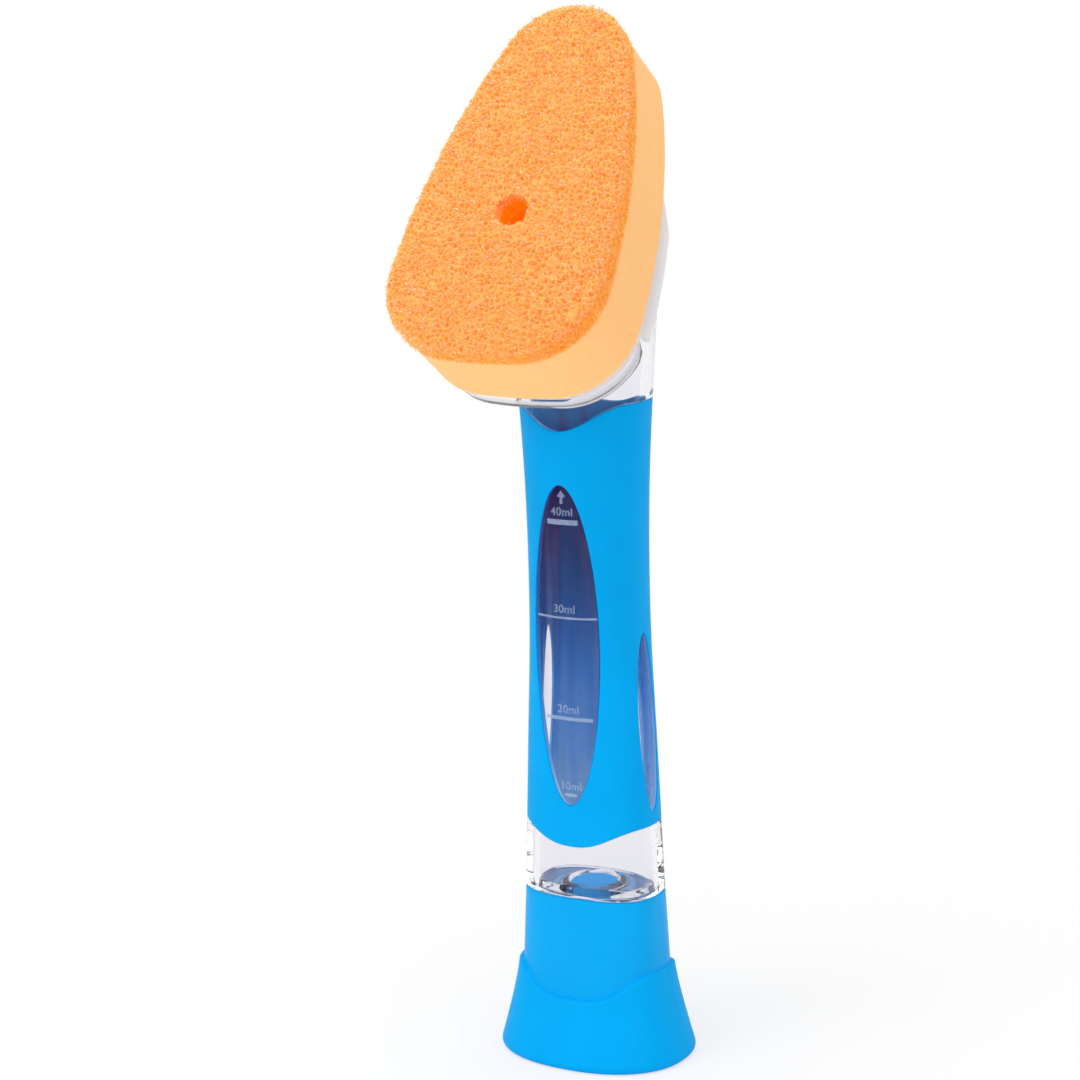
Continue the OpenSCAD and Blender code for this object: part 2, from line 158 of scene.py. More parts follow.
def spot(size, turn, height):
    x = size[0] * signedPower(cosine(turn), 2 / size[2])
    y = size[1] * signedPower(sine(turn), 2 / size[2])
    return np.stack(np.broadcast_arrays(x, y, height), axis=-1)


def onHandle(turn, height, inset, top=domeTop):
    return spot(handleSize(height, inset, top), turn, height)


def wave(turn):
    return ease(np.abs(cosine(turn)))


def gripLow(turn):
    return seam + gripForm["lowUp"] + gripForm["lowWave"] * wave(turn)


def gripTop(turn):
    rise = np.where(sine(turn) > 0, gripForm["backRise"] * (1 - wave(turn)), 0)
    return seam + gripForm["topUp"] + gripForm["topWave"] * wave(turn) + rise


# The head's own frame: x across, s up along the sponge, t out through the scouring face
headTilt = math.radians(headForm["tilt"])
headOrigin = np.array([0, -headForm["reach"], seam + headForm["outletUp"]])
headUp = np.array([0, math.sin(headTilt), math.cos(headTilt)])
headOut = np.array([0, -math.cos(headTilt), math.sin(headTilt)])


def onHead(x, s, t):
    x, s, t = np.broadcast_arrays(x, s, t)
    return (headOrigin + x[..., None] * np.array([1.0, 0, 0])
            + s[..., None] * headUp + t[..., None] * headOut)


def inHead(points):
    offset = points - headOrigin
    return offset[..., 0], offset @ headUp, offset @ headOut


# Half of the sponge's outline: arcs of tip, side, corner and base that run into each other
def outlineArcs():
    tip = np.array([0, headForm["tipCentre"]])
    corner = np.array([headForm["cornerSide"], -headForm["cornerDrop"]])
    gap = corner - tip
    length = np.linalg.norm(gap)
    ahead = gap / length
    tipGap = headForm["sideRadius"] - headForm["tipRadius"]
    cornerGap = headForm["sideRadius"] - headForm["cornerRadius"]
    reach = (tipGap ** 2 - cornerGap ** 2 + length ** 2) / (2 * length)
    side = tip + ahead * reach + np.array([ahead[1], -ahead[0]]) * math.sqrt(tipGap ** 2 - reach ** 2)
    baseGap = headForm["baseRadius"] - headForm["cornerRadius"]
    base = np.array([0, corner[1] + math.sqrt(baseGap ** 2 - headForm["cornerSide"] ** 2)])
    bearing = lambda start, end: math.atan2(end[1] - start[1], end[0] - start[0])
    tipTurn, sideTurn, baseTurn = bearing(side, tip), bearing(side, corner), bearing(base, corner)
    return [
        (tip, headForm["tipRadius"], math.pi / 2, tipTurn),
        (side, headForm["sideRadius"], tipTurn, sideTurn),
        (corner, headForm["cornerRadius"], sideTurn, baseTurn),
        (base, headForm["baseRadius"], baseTurn, -math.pi / 2)]


headArcs = outlineArcs()


# Distance from the outlet's axis to the sponge's outline, drawn in by an inset
def outlineReach(direction, inset):
    if np.ndim(inset):
        levels = np.linspace(np.min(inset), np.max(inset) + 1e-6, headForm["insetLevels"])
        table = np.stack([outlineReach(direction, float(level)) for level in levels])
        share = (inset - levels[0]) / (levels[1] - levels[0])
        low = np.clip(share.astype(int), 0, len(levels) - 2)
        column = np.arange(len(direction))
        return mix(table[low, column], table[low + 1, column], share - low)
    half = np.concatenate([
        centre + (radius - inset) * np.stack([np.cos(turns), np.sin(turns)], axis=-1)
        for centre, radius, start, end in headArcs
        for turns in [np.linspace(start, end, headForm["arcSteps"])]])
    bearing = np.arctan2(half[:, 1], half[:, 0])
    order = np.argsort(bearing)
    folded = np.arctan2(np.sin(direction), np.abs(np.cos(direction)))
    return np.interp(folded, bearing[order], np.hypot(half[:, 0], half[:, 1])[order])


# Mesh building: patches of points in rows, joined where they meet
meshForm = {
    "weld": 0.002,
    "shortestEdge": 0.0005,
    "smoothAngle": 38,
    "bevelAngle": 50,
}


def newStore():
    return {"points": [], "faces": [], "slots": [], "count": 0}


def addPatch(store, rings, slot=0, around=True):
    grid = np.stack(rings)
    rowCount, columnCount = grid.shape[:2]
    index = np.arange(rowCount * columnCount).reshape(rowCount, columnCount) + store["count"]
    right = np.roll(index, -1, axis=1) if around else index[:, 1:]
    left = index if around else index[:, :-1]
    quads = np.stack([left[:-1], right[:-1], right[1:], left[1:]], axis=-1).reshape(-1, 4)
    store["points"].append(grid.reshape(-1, 3))
    store["faces"].extend(quads.tolist())
    store["slots"].extend([slot] * len(quads))
    store["count"] += rowCount * columnCount


def addDisc(store, ring):
    start, n = store["count"], len(ring)
    store["points"].append(np.concatenate([ring, ring.mean(axis=0, keepdims=True)]))
    store["faces"].extend([[start + k, start + (k + 1) % n, start + n] for k in range(n)])
    store["slots"].extend([0] * n)
    store["count"] += n + 1


def newObject(name, data):
    holder = bpy.data.objects.new(name, data)
    bpy.context.scene.collection.objects.link(holder)
    return holder


def weld(mesh, distance, shortest=0):
    work = bmesh.new()
    work.from_mesh(mesh)
    bmesh.ops.remove_doubles(work, verts=work.verts, dist=distance * mm)
    if shortest:
        bmesh.ops.dissolve_degenerate(work, edges=work.edges, dist=shortest * mm)
    bmesh.ops.recalc_face_normals(work, faces=work.faces)
    work.to_mesh(mesh)
    work.free()


def smooth(piece, angle):
    mesh = piece.data
    mesh.polygons.foreach_set("use_smooth", [True] * len(mesh.polygons))
    mesh.set_sharp_from_angle(angle=math.radians(angle))
    mesh.update()


def finishMesh(name, store, materials, smoothAngle=meshForm["smoothAngle"]):
    mesh = bpy.data.meshes.new(name)
    mesh.from_pydata((np.concatenate(store["points"]) * mm).tolist(), [], store["faces"])
    mesh.polygons.foreach_set("material_index", store["slots"])
    weld(mesh, meshForm["weld"], meshForm["shortestEdge"])
    piece = newObject(name, mesh)
    for material in materials:
        mesh.materials.append(material)
    smooth(piece, smoothAngle)
    return piece


# A piece whose whole skin is one list of rings
def ringPiece(name, rings, material):
    store = newStore()
    addPatch(store, rings)
    return finishMesh(name, store, [material])


def applyModifiers(piece):
    bpy.context.view_layer.update()
    ready = piece.evaluated_get(bpy.context.evaluated_depsgraph_get())
    mesh = bpy.data.meshes.new_from_object(ready)
    old = piece.data
    piece.modifiers.clear()
    piece.data = mesh
    mesh.name = old.name
    bpy.data.meshes.remove(old)


def roundEdges(piece, width, segments):
    bevel = piece.modifiers.new("rounding", "BEVEL")
    bevel.width = width * mm
    bevel.segments = segments
    bevel.limit_method = "ANGLE"
    bevel.angle_limit = math.radians(meshForm["bevelAngle"])
    applyModifiers(piece)
    smooth(piece, meshForm["smoothAngle"])


def place(piece, body, slot, *nodes):
    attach(piece, body)
    if nodes:
        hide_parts(*nodes)
    print(f"{piece.name}: {len(piece.data.polygons)} faces on {body}")
    return piece


# Materials
def newMaterial(name):
    material = bpy.data.materials.new(name)
    material.use_nodes = True
    tree = material.node_tree
    shader = next(n for n in tree.nodes if n.type == "BSDF_PRINCIPLED")
    return material, tree, shader


# Each input takes a value or another node's output
def setInputs(tree, node, inputs):
    for key, value in inputs.items():
        if isinstance(value, bpy.types.NodeSocket):
            tree.links.new(value, node.inputs[key])
        else:
            node.inputs[key].default_value = value


def addNode(tree, kind, inputs=None, **settings):
    node = tree.nodes.new(kind)
    for key, value in settings.items():
        setattr(node, key, value)
    setInputs(tree, node, inputs or {})
    return node


def objectPlace(tree):
    return addNode(tree, "ShaderNodeTexCoord").outputs["Object"]


def noiseValue(tree, scale, detail=3.0, roughness=0.5, where=None):
    node = addNode(tree, "ShaderNodeTexNoise", {
        "Vector": where or objectPlace(tree), "Scale": scale, "Detail": detail, "Roughness": roughness})
    return node.outputs["Fac"]


# Object place stretched along the height, for streaks that run up the piece
def stretchedPlace(tree, share):
    return addNode(tree, "ShaderNodeMapping", {
        "Vector": objectPlace(tree), "Scale": (1.0, 1.0, share)}).outputs["Vector"]


def ramp(tree, value, stops):
    node = addNode(tree, "ShaderNodeValToRGB", {"Fac": value})
    elements = node.color_ramp.elements
    while len(elements) < len(stops):
        elements.new(0.5)
    for element, (position, colour) in zip(elements, stops):
        element.position = position
        element.color = (*colour, 1.0)
    return node.outputs["Color"]


# A colour and its darker tone, wandering into each other over a noise's middle range
def toned(tree, value, look):
    dark = look.get("dark") or tuple(channel * look["shade"] for channel in look["colour"])
    return ramp(tree, value, [(0.3, dark), (0.7, look["colour"])])


def between(tree, value, low, high, fromLow=0.0, fromHigh=1.0):
    node = addNode(tree, "ShaderNodeMapRange", {
        "Value": value, "From Min": fromLow, "From Max": fromHigh, "To Min": low, "To Max": high})
    return node.outputs["Result"]


def maths(tree, operation, *values):
    return addNode(tree, "ShaderNodeMath", dict(enumerate(values)), operation=operation).outputs[0]


# Mix of two colours; the factor and both colours are the node's inputs 0, 6 and 7
def mixColours(tree, share, first, second):
    mixer = addNode(tree, "ShaderNodeMix", {0: share, 6: first, 7: (*second, 1)}, data_type="RGBA")
    return mixer.outputs[2]


def bump(tree, height, strength, depth, normal=None):
    inputs = {"Height": height, "Strength": strength, "Distance": depth * mm}
    if normal is not None:
        inputs["Normal"] = normal
    return addNode(tree, "ShaderNodeBump", inputs).outputs["Normal"]


# A plain shader of one colour
def plainShader(tree, kind, colour):
    return addNode(tree, kind, {"Color": (*colour, 1)}).outputs[0]


def mixShaders(tree, share, first, second):
    return addNode(tree, "ShaderNodeMixShader", {0: share, 1: first, 2: second}).outputs["Shader"]


def showShader(tree, result):
    output = next(n for n in tree.nodes if n.type == "OUTPUT_MATERIAL")
    tree.links.new(result, output.inputs["Surface"])


# Tone, roughness and fine relief that all follow one noise
def grainInputs(tree, look):
    tone = noiseValue(tree, look["scale"])
    return {
        "Base Color": toned(tree, tone, look),
        "Roughness": between(tree, tone, *look["roughness"]),
        "Normal": bump(tree, tone, *look["grainBump"])}


white = (1, 1, 1)
rubberLook = {
    "colour": (0.0, 0.425, 0.94),
    "shade": 0.93,
    "roughness": (0.42, 0.52),
    "gloss": 0.04,
    "grainScale": 2600,
    "mottleScale": 60,
    "mottleBump": (0.05, 0.2),
    "grainBump": (0.12, 0.03),
}


def rubberFinish(name, look):
    material, tree, shader = newMaterial(name)
    mottle = noiseValue(tree, look["mottleScale"], 4)
    grain = noiseValue(tree, look["grainScale"], 3, 0.6)
    wide = bump(tree, noiseValue(tree, look["mottleScale"] * 3, 2), *look["mottleBump"])
    setInputs(tree, shader, {
        "Base Color": toned(tree, mottle, look),
        "Roughness": between(tree, grain, *look["roughness"], 0.3, 0.7),
        "Specular IOR Level": look["gloss"],
        "Normal": bump(tree, grain, *look["grainBump"], wide)})
    return material


clearLook = {
    "colour": (0.922, 0.918, 0.948),
    "shade": 0.985,
    "index": 1.24,
    "haze": 0.01,
    "roughness": (0.008, 0.035),
    "flowScale": 38,
    "flowStretch": 0.25,
    "flowBump": (0.25, 0.25),
    "speckScale": 900,
    "lampColour": (0.86, 0.88, 0.9),
}


# Clear moulded plastic, with faint flow waves; lamps shine through it
def clearFinish(name, look):
    material, tree, shader = newMaterial(name)
    tone = noiseValue(tree, look["flowScale"], 2)
    speck = noiseValue(tree, look["speckScale"], 2)
    flow = noiseValue(tree, look["flowScale"] * 2, 1, 0.4, stretchedPlace(tree, look["flowStretch"]))
    setInputs(tree, shader, {
        "Base Color": toned(tree, tone, look),
        "Roughness": between(tree, speck, *look["roughness"], 0.35, 0.7),
        "Transmission Weight": 1.0,
        "IOR": look["index"],
        "Normal": bump(tree, flow, *look["flowBump"])})
    haze = plainShader(tree, "ShaderNodeBsdfTranslucent", white)
    cloudy = mixShaders(tree, look["haze"], shader.outputs["BSDF"], haze)
    through = plainShader(tree, "ShaderNodeBsdfTransparent", look["lampColour"])
    path = addNode(tree, "ShaderNodeLightPath")
    showShader(tree, mixShaders(tree, path.outputs["Is Shadow Ray"], cloudy, through))
    return material


# Milky plastic of the refill's plate, with a faint painted glow standing in for light carried through it
milkyLook = {
    "colour": (0.95, 0.95, 0.955),
    "shade": 0.97,
    "transmission": 0.55,
    "roughness": (0.25, 0.36),
    "index": 1.25,
    "scale": 420,
    "grainBump": (0.15, 0.04),
    "milk": 0.55,
    "lit": 0.07,
}


def milkyFinish(name, look):
    material, tree, shader = newMaterial(name)
    setInputs(tree, shader, {
        **grainInputs(tree, look),
        "Transmission Weight": look["transmission"],
        "IOR": look["index"],
        # Painted glow: the plate shines faintly in its own colour
        "Emission Color": (*look["colour"], 1),
        "Emission Strength": look["lit"] / (1 - look["milk"])})
    milk = plainShader(tree, "ShaderNodeBsdfTranslucent", look["colour"])
    showShader(tree, mixShaders(tree, look["milk"], shader.outputs["BSDF"], milk))
    return material


# Grip seen from inside through the tank: painted by height, lighter below as painted light from the clear
# base, deeper blue and purple above as painted shade, with lighter streaks as painted reflections and a
# faint painted glow
bondLook = {
    "stops": [
        (0.0, (0.50, 0.80, 1.0)), (0.15, (0.20, 0.50, 0.95)), (0.32, (0.02, 0.30, 0.80)),
        (0.5, (0.01, 0.12, 0.50)), (0.64, (0.12, 0.05, 0.34)), (0.72, (0.09, 0.05, 0.34)),
        (0.82, (0.03, 0.27, 0.68))],
    "low": 0.055,
    "high": 0.185,
    "streakScale": 190,
    "streakStretch": 0.03,
    "streakDepth": 0.5,
    "streakRange": (0.52, 0.68),
    "lightRange": (0.35, 0.75),
    "lightStreak": (0.32, 0.55, 0.95),
    "lightShare": 0.75,
    "lit": 0.08,
    "roughness": (0.35, 0.55),
    "gloss": 0.2,
}


def bondFinish(name, look):
    material, tree, shader = newMaterial(name)
    # Painted light and shade by height: lighter towards the clear base, deeper blue and purple higher up
    height = addNode(tree, "ShaderNodeSeparateXYZ", {0: objectPlace(tree)}).outputs["Z"]
    level = between(tree, height, 0, 1, look["low"], look["high"])
    # Streaks that shift the tone and mix in a lighter blue: painted reflections
    streak = noiseValue(tree, look["streakScale"], 2, 0.5, stretchedPlace(tree, look["streakStretch"]))
    shifted = maths(tree, "MULTIPLY_ADD", streak, look["streakDepth"], level)
    tone = maths(tree, "SUBTRACT", shifted, look["streakDepth"] / 2)
    share = maths(tree, "MULTIPLY", between(tree, streak, 0, look["lightShare"], *look["streakRange"]),
                  between(tree, level, 1, 0, *look["lightRange"]))
    colour = mixColours(tree, share, ramp(tree, tone, look["stops"]), look["lightStreak"])
    setInputs(tree, shader, {
        "Base Color": colour,
        "Roughness": between(tree, streak, *look["roughness"]),
        "Specular IOR Level": look["gloss"],
        # Painted glow: the colour shines faintly without a lamp
        "Emission Color": colour,
        "Emission Strength": look["lit"]})
    return material


print("materials")
gripRubber = rubberFinish("gripRubber", rubberLook)
footRubber = rubberFinish("footRubber", {**rubberLook, "mottleScale": 45})
footPlastic = rubberFinish(
    "footPlastic", {**rubberLook, "roughness": (0.3, 0.4), "gloss": 0.08, "grainScale": 1400})
bondedRubber = bondFinish("bondedRubber", bondLook)
clearPlastic = clearFinish("clearPlastic", clearLook)
satinEdge = clearFinish("satinEdge", {**clearLook, "haze": 0.3})
milkyPlastic = milkyFinish("milkyPlastic", milkyLook)

# Sectors round the handle, each with the window in its middle
sectors = [
    {"name": "right", "start": 320, "end": 400, "cells": 32, "window": "sideWindow"},
    {"name": "back", "start": 400, "end": 500, "cells": 40, "window": None},
    {"name": "left", "start": 500, "end": 580, "cells": 32, "window": "sideWindow"},
    {"name": "front", "start": 580, "end": 680, "cells": 40, "window": "frontWindow"},
]
sectorRows = 48
ringTurns = np.concatenate([
    np.linspace(s["start"], s["end"], s["cells"], endpoint=False) for s in sectors])


# A point of the grip's band, from its turn and its share of the band's height
def bandSpot(turn, share, inset, out):
    height = mix(gripLow(turn) - out, gripTop(turn) + out, share)
    return onHandle(turn, height, inset)


def onBand(grid, inset, out):
    return bandSpot(grid[..., 0], grid[..., 1], inset, out)


def bandStep(share, insets, out):
    return [bandSpot(ringTurns, share, inset, out) for inset in insets]


# Turn and height share of a loop round a window, grown by a margin
def windowLoop(sector, out, grow):
    window = gripForm[sector["window"]]
    tall = 2 * gripForm["windowCorner"]
    first = 180 + gripForm["windowCorner"]
    turns = []
    for angle, count in ((180 - tall, sector["cells"]), (tall, sectorRows)) * 2:
        turns.append(first + np.linspace(0, angle, count, endpoint=False))
        first += angle
    phi = np.concatenate(turns)
    across = (window["width"] / 2 + grow) * cosine(phi)
    height = seam + window["up"] + (window["length"] / 2 + grow) * sine(phi)
    size = handleSize(height, 0)
    half = size[0] if sector["name"] in ("front", "back") else size[1]
    centre = (sector["start"] + sector["end"]) / 2
    turn = centre + np.degrees(np.arcsin(signedPower(across / half, size[2] / 2)))
    low, high = gripLow(turn) - out, gripTop(turn) + out
    return np.stack([turn, (height - low) / (high - low)], axis=-1)


def sectorBorder(sector):
    start, end, cells = sector["start"], sector["end"], sector["cells"]
    up, ahead = np.linspace(0, 1, sectorRows, endpoint=False), np.linspace(0, 1, cells, endpoint=False)
    return np.concatenate([
        np.stack([mix(start, end, ahead), np.zeros(cells)], axis=-1),
        np.stack([np.full(sectorRows, end), up], axis=-1),
        np.stack([mix(end, start, ahead), np.ones(cells)], axis=-1),
        np.stack([np.full(sectorRows, start), 1 - up], axis=-1)])


# Rings from a window's edge to the border of its sector
def sectorRings(sector, out, grow):
    inner, border = windowLoop(sector, out, grow), sectorBorder(sector)
    shares = np.linspace(0, 1, gripForm["windowRings"]) ** gripForm["ringSpread"]
    return np.stack([mix(inner, border, share) for share in shares])


def plainSector(sector):
    turns = np.linspace(sector["start"], sector["end"], sector["cells"] + 1)
    shares = np.linspace(0, 1, sectorRows + 1)
    return np.stack(np.meshgrid(turns, shares), axis=-1)


def gripSleeve():
    store = newStore()
    thickness = gripForm["thickness"]
    wall = (0, thickness / 2, thickness)
    for sector in sectors:
        windowed = bool(sector["window"])
        grid = sectorRings(sector, 0, 0) if windowed else plainSector(sector)
        for inset in (0, thickness):
            addPatch(store, onBand(grid, inset, 0), around=windowed)
        if windowed:
            addPatch(store, [onBand(grid[0], inset, 0) for inset in wall])
    for share in (0, 1):
        addPatch(store, bandStep(share, wall, 0))
    piece = finishMesh("gripSleeve", store, [gripRubber])
    roundEdges(piece, gripForm["edgeRound"], 3)
    return place(piece, "handle", "grip_rubber", "grip_sleeve")


# The clear tank: one closed skin from the lower rim over the sole and back down inside
tankForm = {
    "rimRound": 0.45,
    "islandDrop": 0.2,
    "islandMargin": 0.4,
    "shoulderFillet": 2.0,
    "innerFillet": 0.9,
    "soleFront": -3.0,
    "soleBack": -6.0,
    "soleInset": 4.0,
    "shoulderInset": 1.2,
    "shoulderTop": -17.8,
    "shoulderBlend": 0.8,
    "soleRound": 0.4,
    "seatRadius": 7.1,
    "seatDepth": -5.6,
    "boreRadius": 4.5,
    "bossRadius": 6.7,
    "bossEnd": -9.0,
    "bossFillet": 0.5,
    "edgeRound": 0.15,
}
bondedSlot, edgeSlot = 1, 2  # materials of the skin under the grip and of the sole's edge


# Height reached by climbing straight up the wall, then over the dome
def climbToHeight(climb, top=domeTop):
    radius = top - domeStart
    overDome = domeStart + radius * np.sin(np.clip(climb / radius, 0, math.pi / 2))
    return np.where(climb > 0, overDome, domeStart + climb)


# How far up each meridian meets the plane at a depth of the head
def meetPlane(turns, depth, inset, top):
    low = np.full(len(turns), -25.0)
    high = np.full(len(turns), (top - domeStart) * math.pi / 2)
    for _ in range(50):
        middle = (low + high) / 2
        points = onHandle(turns, climbToHeight(middle, top), inset, top)
        below = inHead(points)[2] < depth
        low, high = np.where(below, middle, low), np.where(below, high, middle)
    return (low + high) / 2


def clearTank():
    store = newStore()
    form, gap = tankForm, gripForm["gap"]
    low = seam + handleForm["seamGap"]
    rim = form["rimRound"]
    soleBack = form["soleBack"]

    # Lower band and the steps into the grip's recess
    lowEdge = gripLow(ringTurns) - gap
    lowBand = [onHandle(ringTurns, low + rim * rise, rim * fall) for rise, fall in quarter(4)]
    lowBand += [onHandle(ringTurns, height, 0) for height in rows(low + rim, lowEdge, 24)[1:]]
    addPatch(store, lowBand)
    for share in (0, 1):
        addPatch(store, bandStep(share, (0, recess / 2, recess), gap), bondedSlot)

    # Recess under the grip, with raised islands that fill the windows
    for sector in sectors:
        if not sector["window"]:
            addPatch(store, onBand(plainSector(sector), recess, gap), bondedSlot, around=False)
            continue
        island = windowLoop(sector, gap, -gap)
        wallFoot, wallTop = onBand(island, recess, gap), onBand(island, form["islandDrop"], gap)
        ground = onBand(sectorRings(sector, gap, form["islandMargin"]), recess, gap)
        addPatch(store, [wallFoot, *ground], bondedSlot)
        addPatch(store, rows(wallTop, wallFoot, 4), bondedSlot)
        inside = np.stack(rows(island, island.mean(axis=0), 15)[:-1])
        addPatch(store, onBand(inside, form["islandDrop"], gap))
        addDisc(store, onBand(inside[-1], form["islandDrop"], gap))

    # Neck and dome up to the sole's back, with a soft fillet
    meet = meetPlane(ringTurns, soleBack, 0, domeTop)
    meetPoint = onHandle(ringTurns, climbToHeight(meet), 0)
    x, s, _ = inHead(meetPoint)
    direction = np.arctan2(s, x)
    across, upward = np.cos(direction), np.sin(direction)
    fillet = form["shoulderFillet"]
    start = gripTop(ringTurns) + gap - domeStart
    outside = [onHandle(ringTurns, climbToHeight(climb), 0) for climb in rows(start, meet - fillet, 34)]
    foot = onHead(x + fillet * across, s + fillet * upward, soleBack)
    outside += curveThrough(outside[-1], meetPoint, foot, 8)[1:]

    # Sole: back, rounded edge, front with the valve's seat, bore and boss
    drop = form["shoulderTop"] - outlineReach(direction, form["soleInset"]) * upward
    shoulder = ease(drop / form["shoulderBlend"] + 0.5)
    soleInset = mix(form["soleInset"], form["shoulderInset"], shoulder)

    def soleRing(reach, depth):
        return onHead(reach * across, reach * upward, depth)

    def edgeRing(drawnIn, depth):
        return soleRing(outlineReach(direction, soleInset + drawnIn), depth)

    edge = form["soleRound"]
    carryOn(outside, edgeRing(edge, soleBack), 8)
    edgeStart = len(outside) - 1
    outside += [edgeRing(edge * fall, soleBack + edge * rise) for rise, fall in quarter(4)[1:]]
    outside += [edgeRing(edge * fall, form["soleFront"] - edge * rise) for rise, fall in quarter(4)[::-1]]
    edgeEnd = len(outside) - 1
    seat = soleRing(form["seatRadius"], form["soleFront"])
    carryOn(outside, seat, 12)
    outside += rows(seat, soleRing(form["seatRadius"], form["seatDepth"]), 3)[1:]
    outside += [soleRing(radius, depth) for radius, depth in (
        (form["boreRadius"], form["seatDepth"]),
        (form["boreRadius"], form["bossEnd"]),
        (form["bossRadius"], form["bossEnd"]),
        (form["bossRadius"], soleBack - form["bossFillet"]),
        (form["bossRadius"] + form["bossFillet"], soleBack))]

    # Inside of the tank, back down to the rim
    def innerRing(climb):
        return onHandle(ringTurns, climbToHeight(climb, innerTop), innerInset, innerTop)

    meetIn = meetPlane(ringTurns, soleBack, innerInset, innerTop)
    innerPoint = innerRing(meetIn)
    wallEnd = meetIn - form["innerFillet"]
    xi, si, _ = inHead(innerPoint)
    reachIn = np.hypot(xi, si)
    shrink = (reachIn - form["innerFillet"]) / reachIn
    ceiling = onHead(xi * shrink, si * shrink, soleBack)
    carryOn(outside, ceiling, 7)
    outside += curveThrough(ceiling, innerPoint, innerRing(wallEnd), 6)[1:]
    outside += [innerRing(climb) for climb in rows(wallEnd, low - domeStart, 60)[1:]]
    outside.append(lowBand[0])
    addPatch(store, outside[:edgeStart + 1])
    addPatch(store, outside[edgeStart:edgeEnd + 1], edgeSlot)
    addPatch(store, outside[edgeEnd:])
    piece = finishMesh("clearTank", store, [clearPlastic, bondedRubber, satinEdge])
    roundEdges(piece, form["edgeRound"], 2)
    return place(piece, "handle", "clear_plastic", "reservoir_body")


# Screw thread of neck and socket: a spiral ridge on a round wall
threadForm = {
    "lead": 4.0,
    "ridge": 0.62,
    "width": 1.1,
    "flank": 0.5,
    "runOut": 0.6,
    "ringStep": 0.2,
    "low": 33.6,
    "high": 41.4,
    "socketLow": 33.4,
    "socketHigh": 42.4,
}
circleTurns = np.linspace(0, 360, 144, endpoint=False)


def circleRing(radius, height):
    radius = np.broadcast_to(radius, circleTurns.shape)
    return np.stack([radius * cosine(circleTurns), radius * sine(circleTurns),
                     np.broadcast_to(height, circleTurns.shape)], axis=-1)


def circleRings(*places):
    return [circleRing(radius, height) for radius, height in places]


# Rings down a threaded wall; the side is 1 for a ridge that stands out and -1 for one that stands in
def threadRings(radius, side, top, bottom, low, high, start=0.0):
    form, rings = threadForm, []
    lead, flank, runOut = form["lead"], form["flank"], form["runOut"]
    for height in np.arange(top, bottom, -form["ringStep"]):
        away = np.mod(height - lead * circleTurns / 360 - start + lead / 2, lead) - lead / 2
        shape = ease((form["width"] / 2 + flank / 2 - np.abs(away)) / flank)
        ends = ease((height - low) / runOut) * ease((high - height) / runOut)
        rings.append(circleRing(radius + side * (form["ridge"] * shape * ends), height))
    return rings


floorForm = {
    "low": 43.3,
    "top": 45.4,
    "gap": 0.1,
    "edgeRound": 0.35,
    "boreRadius": 6.35,
    "neckRadius": 8.0,
    "neckLow": 33.0,
    "neckChamfer": 0.3,
    "lipRound": 0.5,
    "fillet": 0.5,
}


def fillerFloor():
    form, thread = floorForm, threadForm
    inset = innerInset + form["gap"]
    top, low, edge, lip = form["top"], form["low"], form["edgeRound"], form["lipRound"]
    bore, neck, neckLow = form["boreRadius"], form["neckRadius"], form["neckLow"]
    fillet, chamfer = form["fillet"], form["neckChamfer"]

    def wallRing(height, drawnIn):
        return spot(handleSize(np.float64(top), inset + drawnIn), circleTurns, height)

    rings = [circleRing(bore + lip * rise, top - lip * fall) for rise, fall in quarter(5)]
    carryOn(rings, wallRing(top, edge), 8)
    rings += [wallRing(top - edge * rise, edge * fall) for rise, fall in quarter(5)[1:]]
    rings += rows(wallRing(top - edge, 0), wallRing(low + edge, 0), 5)[1:]
    rings += [wallRing(low + edge * fall, edge * rise) for rise, fall in quarter(5)[1:]]
    under = circleRing(neck + fillet, low)
    carryOn(rings, under, 8)
    rings += curveThrough(under, circleRing(neck, low), circleRing(neck, low - fillet), 5)[1:]
    rings += threadRings(neck, 1, low - fillet - 0.2, neckLow + 0.35, thread["low"], thread["high"])
    rings += circleRings((neck - chamfer, neckLow), (bore + chamfer, neckLow), (bore, neckLow + chamfer))
    carryOn(rings, rings[0], 30)
    piece = ringPiece("fillerFloor", rings, clearPlastic)
    return place(piece, "handle", "clear_plastic", "reservoir_floor")


# Foot: outline of the flared skirt and of the hard core inside it
footForm = {
    "width": 52.0,
    "depth": 41.4,
    "square": 2.25,
    "bellPower": 1.3,
    "skirtHeight": 24.0,
    "dip": 6.6,
    "backDip": 4.4,
    "edgeThickness": 1.1,
    "thickness": 2.6,
    "draft": 0.9,
    "lowRound": 2.2,
    "gap": 0.15,
    "padThickness": 3.0,
    "lipRound": 0.8,
    "lipRows": [(0.0, 0.76), (0.05, 0.88), (0.2, 0.98), (0.4, 1.06)],
}


def footSize(height, inset):
    width, depth = handleForm["width"][0] / 2, handleForm["depth"][0] / 2
    collar = footForm["draft"] + footForm["edgeThickness"]
    bell = np.clip(1 - height / footForm["skirtHeight"], 0, 1) ** footForm["bellPower"]
    return (mix(width + collar, footForm["width"] / 2, bell) - inset,
            mix(depth + collar, footForm["depth"] / 2, bell) - inset,
            mix(handleForm["square"][0], footForm["square"], bell))


def skirtThickness(height):
    share = np.clip(height / footForm["skirtHeight"], 0, 1)
    return mix(footForm["thickness"], footForm["edgeThickness"], share)


def coreSize(height, inset):
    low = footForm["skirtHeight"]
    under = footSize(height, skirtThickness(height) + inset)
    draft = footForm["draft"] * (1 - (height - low) / (seam - low))
    over = (handleForm["width"][0] / 2 + draft - inset, handleForm["depth"][0] / 2 + draft - inset,
            handleForm["square"][0])
    return tuple(np.where(height < low, u, o) for u, o in zip(under, over))


def skirtTop(turn):
    dip = np.where(sine(turn) > 0, footForm["backDip"], footForm["dip"])
    return footForm["skirtHeight"] - dip * (1 - wave(turn) ** 1.5)


